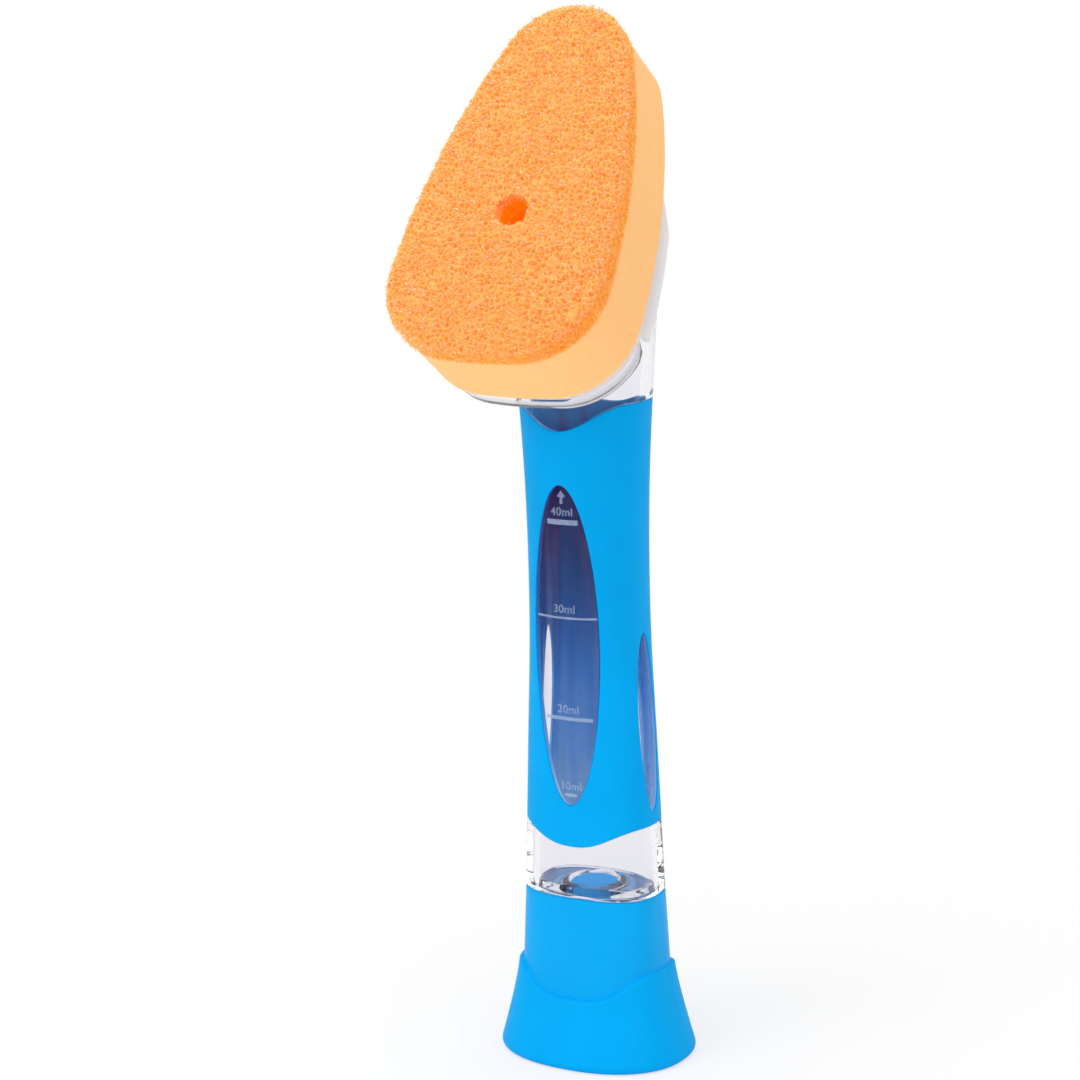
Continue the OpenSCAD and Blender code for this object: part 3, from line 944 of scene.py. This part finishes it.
def footSkirt():
    form, turns = footForm, ringTurns
    top = skirtTop(turns)
    lip, low, pad = form["lipRound"], form["lowRound"], form["padThickness"]

    def ring(height, share):
        return spot(footSize(height, share * skirtThickness(height)), turns, height)

    def inner(height, shown=None):
        size = footSize(height, skirtThickness(height) - form["gap"])
        return spot(size, turns, height if shown is None else shown)

    rings = [spot(footSize(low * rise, low * fall), turns, low * rise) for rise, fall in quarter(8)]
    rings += [ring(height, 0) for height in rows(low, top - lip, 34)[1:]]
    rings += [ring(top - lip * fall, lip * rise / form["edgeThickness"]) for rise, fall in quarter(6)[1:]]
    rings += [ring(top + rise, share) for rise, share in form["lipRows"]]
    rings += [inner(height) for height in rows(top - 0.1, pad, 24)]
    rings += [inner(pad, 0.0), rings[0]]
    return place(ringPiece("footSkirt", rings, footRubber), "cap", "foot_rubber", "foot_skirt")


# The screw cap's hard core: collar, deck, threaded socket and sealing plug
capForm = {
    "wall": 2.0,
    "deckTop": 31.3,
    "deckLow": 28.8,
    "socketRadius": 8.9,
    "socketWall": 1.6,
    "socketChamfer": 0.4,
    "plugRadius": 5.75,
    "plugTop": 45.0,
    "plugRound": 0.6,
    "edgeRound": 0.45,
    "rimChamfer": 0.3,
}


def coreRing(height, inset):
    height = np.float64(height)
    return spot(coreSize(height, inset), circleTurns, height)


def footCollar():
    form, thread = capForm, threadForm
    wall, deckTop, deckLow, edge = form["wall"], form["deckTop"], form["deckLow"], form["edgeRound"]
    pad, skirtHeight = footForm["padThickness"], footForm["skirtHeight"]
    socket, plug, plugTop = form["socketRadius"], form["plugRadius"], form["plugTop"]
    chamfer, plugRound, rim = form["socketChamfer"], form["plugRound"], form["rimChamfer"]
    socketOut = socket + form["socketWall"]
    rings = [circleRing(plug - wall, deckLow), coreRing(deckLow, wall)]
    rings += [coreRing(height, wall) for height in np.linspace(deckLow, pad, 12)[1:]]
    rings += [coreRing(height, 0) for height in np.linspace(pad, skirtHeight, 16)]
    rings += [coreRing(height, 0) for height in np.linspace(skirtHeight, seam - edge, 12)[1:]]
    rings += [coreRing(seam - edge * fall, edge * rise) for rise, fall in quarter(5)[1:]]
    rings += [coreRing(seam, wall - rim), coreRing(seam - rim, wall), coreRing(deckTop, wall)]
    rings += circleRings((socketOut, deckTop), (socketOut, seam - rim), (socketOut - rim, seam),
                         (socket + chamfer, seam), (socket, seam - chamfer))
    rings += threadRings(socket, -1, seam - 0.6, deckTop + 0.1, thread["socketLow"], thread["socketHigh"],
                         thread["lead"] / 2)
    rings += circleRings((socket, deckTop), (plug + chamfer, deckTop), (plug, deckTop + chamfer))
    carryOn(rings, circleRing(plug, plugTop - plugRound), 8)
    rings += circleRings(*((plug - plugRound * rise, plugTop - plugRound * fall)
                           for rise, fall in quarter(5)[1:]))
    carryOn(rings, circleRing(1.0, plugTop), 4)
    under = circleRings((1.0, plugTop - wall), (plug - wall, plugTop - wall)) + [rings[0]]
    store = newStore()
    addPatch(store, rings)
    addDisc(store, rings[-1])
    addPatch(store, under)
    addDisc(store, under[0])
    return place(finishMesh("footCollar", store, [footPlastic]), "cap", "foot_plastic", "cap_core")


clearTank()
gripSleeve()
fillerFloor()
footSkirt()
footCollar()

# Backing plate of the refill: flat plate, rim round tip and sides, lips that grip the sole
plateForm = {
    "thickness": 2.6,
    "inset": 2.0,
    "rimWall": 1.6,
    "runOut": 8.0,
    "rimEnd": -7.8,
    "lipThickness": 1.4,
    "lipReach": 2.8,
    "lipLength": 31.0,
    "rimFrom": -17.4,
    "rimBlend": 1.2,
    "beadDepth": 0.15,
    "round": 0.3,
}
headTurns = np.radians(np.linspace(0, 360, 288, endpoint=False))


def headRing(reach, depth):
    return onHead(reach * np.cos(headTurns), reach * np.sin(headTurns), depth)


def outlineRing(inset, depth):
    return headRing(outlineReach(headTurns, inset), depth)


def refillPlate():
    form = plateForm
    hole, thick, inset, edge = headForm["holeRadius"], form["thickness"], form["inset"], form["round"]
    bead, rimFrom, runOut, blend = form["beadDepth"], form["rimFrom"], form["runOut"], form["rimBlend"]
    s = outlineReach(headTurns, inset) * np.sin(headTurns)
    lipEnd = rimFrom + form["lipLength"]
    start = ease((s - rimFrom) / blend)
    rim = start * np.clip((lipEnd + runOut - s) / runOut, 0, 1)
    lip = start * ease((lipEnd - s) / blend)
    depth = mix(bead, -form["rimEnd"] - thick, rim)
    end = -thick - depth
    lipFront = -thick - mix(depth * 0.4, depth - form["lipThickness"], rim)
    rimInset = inset + form["rimWall"]
    lipInset = rimInset + form["lipReach"] * lip
    rings = [headRing(hole, -thick), headRing(hole, -edge), headRing(hole + edge, 0.0)]
    carryOn(rings, outlineRing(inset + edge, 0.0), 12)
    rings += [outlineRing(drawnIn, level) for drawnIn, level in (
        (inset, -edge), (inset, end + bead * 0.5), (inset + bead, end),
        (lipInset - 0.1, end), (lipInset, end + 0.1 * rim), (lipInset, lipFront),
        (rimInset, lipFront), (rimInset, -thick))]
    carryOn(rings, rings[0], 12)
    return place(ringPiece("refillPlate", rings, milkyPlastic), "refill", "clear_plastic", "refill_plate")


# Foam: a closed block of even small faces, pushed in and out where its pores are
spongeForm = {
    "front": 19.0,
    "back": 0.1,
    "backRound": 1.8,
    "frontRound": 0,
    "faceSize": 0.55,
    "poreSize": 0.7,
    "poreDepth": 0.05,
    "poreShade": 0.3,
    "waveSize": 9.0,
    "waviness": 0.12,
    "smoothAngle": 80,
}
scourForm = {
    "back": 19.12,
    "front": 26.1,
    "backRound": 0,
    "frontRound": 1.7,
    "faceSize": 0.30,
    "cellSize": 1.3,
    "fineShare": 0.45,
    "fineLift": 0.12,
    "pitDepth": 0.55,
    "pitWidth": 0.55,
    "strutLift": 0.4,
    "strutWidth": 0.16,
    "waveSize": 3.2,
    "waviness": 0.4,
    "sideShade": 0.85,
    "smoothAngle": 70,
    "seed": 11,
}
# Loose struts: bent arches, spikes that stand off, and short bits painted pale as glints
strutForms = [
    {"count": 5200, "spike": False, "tone": (0.05, 0.8),
     "length": (0.7, 1.5), "rise": (0.25, 0.8), "thickness": (0.09, 0.16)},
    {"count": 2400, "spike": True, "tone": (-0.1, 0.5),
     "length": (0.3, 1.0), "rise": (0.5, 1.2), "thickness": (0.10, 0.17)},
    {"count": 1200, "spike": False, "tone": (-0.5, -0.2),
     "length": (0.3, 0.6), "rise": (0.3, 0.8), "thickness": (0.14, 0.21)},
]
strutBend = 0.18
strutSteps = [(0, 0.6), (0.34, 1.0), (0.67, 1.0), (1, 0.55)]  # place along, share of the thickness


def foamBlock(name, form, material):
    hole, back, front = headForm["holeRadius"], form["back"], form["front"]
    backRound, frontRound = form["backRound"], form["frontRound"]
    rings = [headRing(hole, back)]
    carryOn(rings, outlineRing(backRound, back), 24)
    corner = quarter(6)[1:]
    if backRound:
        rings += [outlineRing(backRound * fall, back + backRound * rise) for rise, fall in corner]
    carryOn(rings, outlineRing(0, front - frontRound), 12)
    if frontRound:
        rings += [outlineRing(frontRound * rise, front - frontRound * fall) for rise, fall in corner]
    carryOn(rings, headRing(hole, front), 24)
    carryOn(rings, rings[0], 8)
    piece = ringPiece(name, rings, material)
    remesh = piece.modifiers.new("evenFaces", "REMESH")
    remesh.mode = "VOXEL"
    remesh.voxel_size = form["faceSize"] * mm
    applyModifiers(piece)
    return piece


def readPoints(mesh, name):
    values = np.empty(len(mesh.vertices) * 3)
    mesh.vertices.foreach_get(name, values)
    return values.reshape(-1, 3)


def storeValue(mesh, name, values):
    attribute = mesh.attributes.new(name, "FLOAT", "POINT")
    attribute.data.foreach_set("value", np.asarray(values, np.float32))


# Distance from the walls between foam cells: 0 on a strut, more inside a pore
def cellDistance(points, size):
    found = np.empty(len(points))
    for i, point in enumerate((points / size).tolist()):
        near = noise.voronoi(point)[0]
        found[i] = near[1] - near[0]
    return found


def lowWaves(points, size):
    return np.array([noise.noise(point) for point in (points / size).tolist()])


foamLook = {
    "soft": {
        "stops": [(0.25, (1.0, 0.55, 0.225)), (1.0, (1.0, 0.44, 0.125))],
        "poreScale": 1500, "roughness": 0.85, "subsurface": 0.3, "radius": 0.004, "lit": 0.14},
    "scour": {
        "stops": [(0.15, (1.0, 0.40, 0.12)), (1.0, (1.0, 0.335, 0.04))],
        "poreScale": 1100, "roughness": 0.7, "subsurface": 0.8, "radius": 0.006, "lit": 0.12},
    "fibre": {
        # Fibre ramp: its pale end gives painted glints, its deep end the painted shade of the sides
        "stops": [(0.0, (1.0, 0.76, 0.52)), (0.3, (1.0, 0.47, 0.22)), (1.0, (1.0, 0.385, 0.07))],
        "poreScale": 900, "roughness": 0.45, "subsurface": 0.6, "radius": 0.003, "lit": 0.15},
    "holeGlowColour": (1.0, 0.14, 0.0),
    "holeGlow": 0.7,
    "fineShare": 0.6,
    "spread": (1.0, 0.5, 0.2),
    "gloss": 0.25,
    "fineBump": (0.5, 0.12),
}


# Foam is lit through: the walls of the soap hole are painted a deeper orange and glow as painted light, and
# each foam has a faint painted glow of its own colour
def foamFinish(name, look):
    material, tree, shader = newMaterial(name)
    toneAndShade = addNode(tree, "ShaderNodeAttribute", attribute_name="toneAndShade").outputs["Fac"]
    inHole = addNode(tree, "ShaderNodeAttribute", attribute_name="hole").outputs["Fac"]
    fine = noiseValue(tree, look["poreScale"], 3, 0.65)
    # Colour ramp from lighter to deeper orange: random fine noise plus painted shade in pores, pits and on
    # the scour's sides
    depth = maths(tree, "ADD", maths(tree, "MULTIPLY", fine, foamLook["fineShare"]), toneAndShade)
    colour = mixColours(tree, inHole, ramp(tree, depth, look["stops"]), foamLook["holeGlowColour"])
    setInputs(tree, shader, {
        "Base Color": colour,
        "Roughness": look["roughness"],
        "Specular IOR Level": foamLook["gloss"],
        "Subsurface Weight": look["subsurface"],
        "Subsurface Radius": foamLook["spread"],
        "Subsurface Scale": look["radius"],
        "Normal": bump(tree, fine, *foamLook["fineBump"]),
        # Painted glow: faint on all foam, strong in the soap hole
        "Emission Color": colour,
        "Emission Strength": between(tree, inHole, look["lit"], foamLook["holeGlow"])})
    return material


# How deep a point lies in the soap hole, where the painted glow goes: 0 outside, 1 well inside
def holeDepth(points):
    x, s, depth = inHead(points)
    near = ease((headForm["holeRadius"] + 0.7 - np.hypot(x, s)) / 0.5)
    return near * ease((scourForm["front"] - 1.2 - depth) / 2.6)


# Moves a foam's points along their normals and stores what its finish reads
def finishFoam(piece, form, points, moved, toneAndShade):
    piece.data.vertices.foreach_set("co", (moved * mm).ravel())
    storeValue(piece.data, "toneAndShade", toneAndShade)
    storeValue(piece.data, "hole", holeDepth(points))
    smooth(piece, form["smoothAngle"])


def softSponge():
    form = spongeForm
    piece = foamBlock("softSponge", form, foamFinish("softFoam", foamLook["soft"]))
    points, normals = readPoints(piece.data, "co") / mm, readPoints(piece.data, "normal")
    cells = cellDistance(points, form["poreSize"])
    waves = lowWaves(points, form["waveSize"])
    depth = inHead(points)[2]
    free = ease((form["front"] - 0.2 - depth) / 1.2) * ease((depth - form["back"] - 0.3) / 1.5)
    push = (form["waviness"] * waves - form["poreDepth"] * np.clip(cells / 0.5, 0, 1)) * free
    # Painted shade: darker colour inside the pores
    toneAndShade = np.clip(cells, 0, 1) * form["poreShade"]
    finishFoam(piece, form, points, points + normals * push[:, None], toneAndShade)
    return place(piece, "refill", "soft_sponge", "sponge")


def scouringPad():
    form = scourForm
    piece = foamBlock("scouringPad", form, foamFinish("scourFoam", foamLook["scour"]))
    points, normals = readPoints(piece.data, "co") / mm, readPoints(piece.data, "normal")
    cells = cellDistance(points, form["cellSize"])
    fine = cellDistance(points + 40.0, form["cellSize"] * form["fineShare"])
    waves = lowWaves(points, form["waveSize"])
    depth = inHead(points)[2]
    free = ease((depth - form["back"] - 0.1) / 0.6)
    strut = np.exp(-(cells / form["strutWidth"]) ** 2)
    pit = np.clip(cells / form["pitWidth"], 0, 1)
    push = (form["strutLift"] * strut - form["pitDepth"] * pit + form["fineLift"] * (0.4 - fine)
            + form["waviness"] * waves) * free
    # Painted shade: deeper orange on the scour's sides, in its pits and in the hollows of its waves
    side = ease((form["front"] - form["frontRound"] * 0.9 - depth) / 1.4) * form["sideShade"]
    toneAndShade = np.clip(pit * 0.5 - 0.2 * waves + side, 0, 1)
    finishFoam(piece, form, points, points + normals * push[:, None], toneAndShade)
    place(piece, "refill", "scour_fibre", "scour_pad")
    scourFibres(points, normals, side)


# One group of struts: its points as closed three-sided tubes, and the tone of each point, random plus the
# painted shade of the scour's sides
def strutGroup(form, points, normals, side, chance):
    chosen = chance.choice(len(points), form["count"], replace=False)
    base, normal = points[chosen], normals[chosen]
    aside = np.cross(normal, chance.normal(size=base.shape))
    aside /= np.linalg.norm(aside, axis=1, keepdims=True)
    third = np.cross(normal, aside)
    length = chance.uniform(*form["length"], len(base))[:, None]
    rise = chance.uniform(*form["rise"], len(base))[:, None]
    bend = chance.normal(0, strutBend, len(base))[:, None]
    thick = chance.uniform(*form["thickness"], len(base))
    tone = chance.uniform(*form["tone"], len(base)) + side[chosen]
    turns = np.radians([90.0, 210.0, 330.0])
    rings = []
    for share, swell in strutSteps:
        arch = 4 * share * (1 - share)
        if form["spike"]:
            across, above, first, second = length * share ** 2, rise * (share - 0.15), aside, third
        else:
            across, above, first, second = length * (share - 0.5), rise * (arch - 0.35), normal, third
        centre = base + aside * across + third * bend * 4 * share * (1 - share) + normal * above
        rings.append(np.stack([
            centre + (first * math.cos(t) + second * math.sin(t)) * (thick * swell)[:, None]
            for t in turns], axis=1))
    return np.stack(rings, axis=1).reshape(-1, 3), np.repeat(tone, 12)


def scourFibres(points, normals, side):
    chance = np.random.default_rng(scourForm["seed"])
    x, s, depth = inHead(points)
    loose = (depth > scourForm["back"] + 0.3) & (np.hypot(x, s) > headForm["holeRadius"] - 0.2)
    groups = [strutGroup(form, points[loose], normals[loose], side[loose], chance) for form in strutForms]
    flat = np.concatenate([group[0] for group in groups])
    start = (np.arange(len(flat) // 12) * 12)[:, None]
    corners = [[a, b, b + 3, a + 3] for ring in (0, 3, 6) for a, b in
               ((ring + k, ring + (k + 1) % 3) for k in range(3))]
    sides, ends = (np.concatenate([start + np.array([corner]) for corner in group]).tolist()
                   for group in (corners, [[2, 1, 0], [9, 10, 11]]))
    mesh = bpy.data.meshes.new("scourFibres")
    mesh.from_pydata((flat * mm).tolist(), [], sides + ends)
    mesh.materials.append(foamFinish("fibreFoam", foamLook["fibre"]))
    storeValue(mesh, "toneAndShade", np.concatenate([group[1] for group in groups]))
    storeValue(mesh, "hole", holeDepth(flat))
    piece = newObject("scourFibres", mesh)
    smooth(piece, 80)
    place(piece, "refill", "scour_fibre")


# Soap scale: raised bars and plain numbers on the front window; each bar is its place up,
# half its length and its height
scaleForm = {
    "bars": [(27.4, 1.7, 0.8), (47.3, 6.5, 0.9), (73.3, 8.2, 0.55), (97.4, 4.2, 1.3)],
    "numbers": ["10ml", "20ml", "30ml", "40ml"],
    "letterSize": 2.97,
    "letterWeight": 0.0264,
    "letterSpace": 1.05,
    "letterExtrude": 0.5,
    "numberRise": 1.0,
    "arrowUp": 103.6,
    "arrow": [(-0.35, -1.6), (0.35, -1.6), (0.35, 0.2), (1.15, 0.2), (0, 1.8), (-1.15, 0.2), (-0.35, 0.2)],
    "sunk": 0.24,
    "top": 0.02,
    "middle": 0.4,
    "wordWeld": 0.001,
}
scaleLook = {
    "colour": (0.5, 0.62, 0.86),
    "dark": (0.36, 0.48, 0.72),
    "scale": 700,
    "roughness": (0.25, 0.45),
    "grainBump": (0.2, 0.05),
    "barClearness": 0.55,
    "wordClearness": 0.7,
}


def scaleFinish(name, look, clearness):
    material, tree, shader = newMaterial(name)
    setInputs(tree, shader, grainInputs(tree, look))
    through = plainShader(tree, "ShaderNodeBsdfTransparent", white)
    showShader(tree, mixShaders(tree, clearness, shader.outputs["BSDF"], through))
    return material


# Wraps a flat point of the front view onto the tank, an inset below its surface
def onFront(x, height, inset):
    size = handleSize(height, inset)
    turn = 270 + np.degrees(np.arcsin(signedPower(np.clip(x / size[0], -1, 1), size[2] / 2)))
    return spot(size, turn, height)


def scaleBars(material):
    store, sunk, top = newStore(), scaleForm["sunk"], scaleForm["top"]
    for up, half, tall in scaleForm["bars"]:
        x = np.linspace(-half, half, 33) + scaleForm["middle"]
        profile = [(-tall / 2, sunk), (-tall / 2, top + 0.05), (-tall / 2 + 0.1, top),
                   (tall / 2 - 0.1, top), (tall / 2, top + 0.05), (tall / 2, sunk), (-tall / 2, sunk)]
        grid = np.stack([onFront(x, seam + up + rise, inset) for rise, inset in profile])
        addPatch(store, grid, around=False)
        addDisc(store, grid[:-1, 0])
        addDisc(store, grid[:-1, -1])
    place(finishMesh("soapScaleBars", store, [material], 30), "handle", "clear_plastic")


def raisedWords(name, words, height, material):
    curve = bpy.data.curves.new(name, "FONT")
    curve.body = words
    curve.size = scaleForm["letterSize"]
    curve.align_x = "CENTER"
    curve.extrude = scaleForm["letterExtrude"]
    curve.offset = scaleForm["letterWeight"]
    curve.space_character = scaleForm["letterSpace"]
    curve.resolution_u = 4
    holder = newObject(name, curve)
    bpy.context.view_layer.update()
    mesh = bpy.data.meshes.new_from_object(holder.evaluated_get(bpy.context.evaluated_depsgraph_get()))
    bpy.data.objects.remove(holder)
    bpy.data.curves.remove(curve)
    points = readPoints(mesh, "co")
    inset = np.where(points[:, 2] > 0, scaleForm["top"], scaleForm["sunk"])
    moved = onFront(points[:, 0] + scaleForm["middle"], height + points[:, 1], inset)
    mesh.vertices.foreach_set("co", (moved * mm).ravel())
    mesh.materials.clear()
    mesh.materials.append(material)
    weld(mesh, scaleForm["wordWeld"])
    piece = newObject(name, mesh)
    smooth(piece, 25)
    place(piece, "handle", "clear_plastic")


def scaleArrow(material):
    outline = np.array(scaleForm["arrow"])
    x, z = outline[:, 0] + scaleForm["middle"], outline[:, 1] + seam + scaleForm["arrowUp"]
    store = newStore()
    low, high = onFront(x, z, scaleForm["sunk"]), onFront(x, z, scaleForm["top"])
    addPatch(store, [low, high])
    addDisc(store, low)
    addDisc(store, high)
    place(finishMesh("soapScaleArrow", store, [material], 25), "handle", "clear_plastic")


def soapScale():
    scaleBars(scaleFinish("scaleBars", scaleLook, scaleLook["barClearness"]))
    wordMaterial = scaleFinish("scaleWords", scaleLook, scaleLook["wordClearness"])
    for (up, _, tall), words in zip(scaleForm["bars"], scaleForm["numbers"]):
        height = seam + up + tall / 2 + scaleForm["numberRise"]
        raisedWords("soapScale" + words, words, height, wordMaterial)
    scaleArrow(wordMaterial)


# Finishes for the frame's own parts that stay
siliconeLook = {
    "colour": (0.86, 0.87, 0.86),
    "shade": 0.93,
    "scale": 500,
    "roughness": (0.3, 0.45),
    "subsurface": 0.3,
    "radius": 0.002,
    "grainBump": (0.1, 0.03),
}


def siliconeFinish(name, look):
    material, tree, shader = newMaterial(name)
    setInputs(tree, shader, {
        **grainInputs(tree, look),
        "Subsurface Weight": look["subsurface"],
        "Subsurface Scale": look["radius"]})
    return material


def dressNode(node, material):
    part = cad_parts[node]
    part.data.materials.clear()
    part.data.materials.append(material)


refillPlate()
softSponge()
scouringPad()
soapScale()
silicone = siliconeFinish("clearSilicone", siliconeLook)
dressNode("cap_washer", silicone)
dressNode("slit_valve", silicone)
dressNode("valve_ring", clearPlastic)
padLook = {**rubberLook, "grainScale": 1800, "roughness": (0.5, 0.62)}
dressNode("foot_pad", rubberFinish("padRubber", padLook))

# Studio: pale floor, soft lamps, white surroundings; each lamp has its place, size and power
studio = {
    "skyStrength": 0.58,
    "glossStrength": 0.45,
    "lamps": {
        "keyLamp": ((-0.55, -1.15, 0.85), (0.8, 0.8), 4.1),
        "fillLamp": ((1.15, -0.75, 0.45), (0.6, 0.9), 1.7),
        "backLamp": ((0.2, 1.2, 0.8), (0.9, 0.6), 2.2),
        "topLamp": ((-0.05, -0.3, 1.3), (0.8, 0.8), 7.0),
    },
    "lampAim": (0, 0, 0.14),
    "floorSize": 24.0,
    "floorTone": 0.95,
    "floorRoughness": 0.9,
    "floorGloss": 0.1,
    "floorGlow": 0.62,
    "floorFade": (0.05, 0.26),
}


# 1 for what the camera sees, straight or through clear plastic
def seenPath(tree):
    path = addNode(tree, "ShaderNodeLightPath")
    seen = maths(tree, "MAXIMUM", path.outputs["Is Camera Ray"], path.outputs["Is Transmission Ray"])
    return seen, path.outputs["Is Glossy Ray"]


def sky():
    world = bpy.data.worlds.new("studioSky")
    bpy.context.scene.world = world
    world.use_nodes = True
    tree = world.node_tree
    background = next(n for n in tree.nodes if n.type == "BACKGROUND")
    seen, glossy = seenPath(tree)
    lit = between(tree, glossy, studio["skyStrength"], studio["glossStrength"])
    setInputs(tree, background, {"Color": (*white, 1), "Strength": maths(tree, "MAXIMUM", lit, seen)})


# The floor fades to white away from the piece, for the camera alone
def floor():
    half = studio["floorSize"] / 2
    mesh = bpy.data.meshes.new("studioFloor")
    corners = [(-half, -half, 0), (half, -half, 0), (half, half, 0), (-half, half, 0)]
    mesh.from_pydata(corners, [], [(0, 1, 2, 3)])
    material, tree, shader = newMaterial("paleFloor")
    tone = studio["floorTone"]
    setInputs(tree, shader, {
        "Base Color": (tone, tone, tone, 1),
        "Roughness": studio["floorRoughness"],
        "Specular IOR Level": studio["floorGloss"]})
    position = addNode(tree, "ShaderNodeNewGeometry").outputs["Position"]
    distance = addNode(tree, "ShaderNodeVectorMath", {0: position}, operation="LENGTH").outputs["Value"]
    fade = between(tree, distance, studio["floorGlow"], 1, *studio["floorFade"])
    share = maths(tree, "MULTIPLY", fade, seenPath(tree)[0])
    glow = plainShader(tree, "ShaderNodeEmission", white)
    showShader(tree, mixShaders(tree, share, shader.outputs["BSDF"], glow))
    mesh.materials.append(material)
    newObject("studioFloor", mesh)


def lamp(name, position, size, power):
    light = bpy.data.lights.new(name, "AREA")
    light.shape = "RECTANGLE"
    light.size, light.size_y = size
    light.energy = power
    holder = newObject(name, light)
    holder.location = position
    ahead = Vector(studio["lampAim"]) - Vector(position)
    holder.rotation_euler = ahead.to_track_quat("-Z", "Y").to_euler()


# Camera at the photograph's viewing angle
shot = {
    "azimuth": 29.19,
    "distance": 0.7001,
    "height": 0.2761,
    "aimSide": -0.0121,
    "aimHeight": 0.13356,
    "lens": 95.36,
    "sensor": 36,
    "roll": -1.38,
}


def camera():
    azimuth, roll = math.radians(shot["azimuth"]), math.radians(shot["roll"])
    away, aimSide = shot["distance"], shot["aimSide"]
    eye = Vector((away * math.sin(azimuth), -away * math.cos(azimuth), shot["height"]))
    aim = Vector((aimSide * math.cos(azimuth), aimSide * math.sin(azimuth), shot["aimHeight"]))
    ahead = (aim - eye).normalized()
    right = ahead.cross(Vector((0, 0, 1))).normalized()
    up = right.cross(ahead)
    side = math.cos(roll) * right + math.sin(roll) * up
    above = -math.sin(roll) * right + math.cos(roll) * up
    lens = bpy.data.cameras.new("photoCamera")
    lens.lens = shot["lens"]
    lens.sensor_width = shot["sensor"]
    holder = newObject("photoCamera", lens)
    holder.matrix_world = Matrix.Translation(eye) @ Matrix((side, above, -ahead)).transposed().to_4x4()
    bpy.context.scene.camera = holder


print("studio")
sky()
floor()
for name, settings in studio["lamps"].items():
    lamp(name, *settings)
camera()
bpy.context.scene.view_settings.view_transform = "Standard"
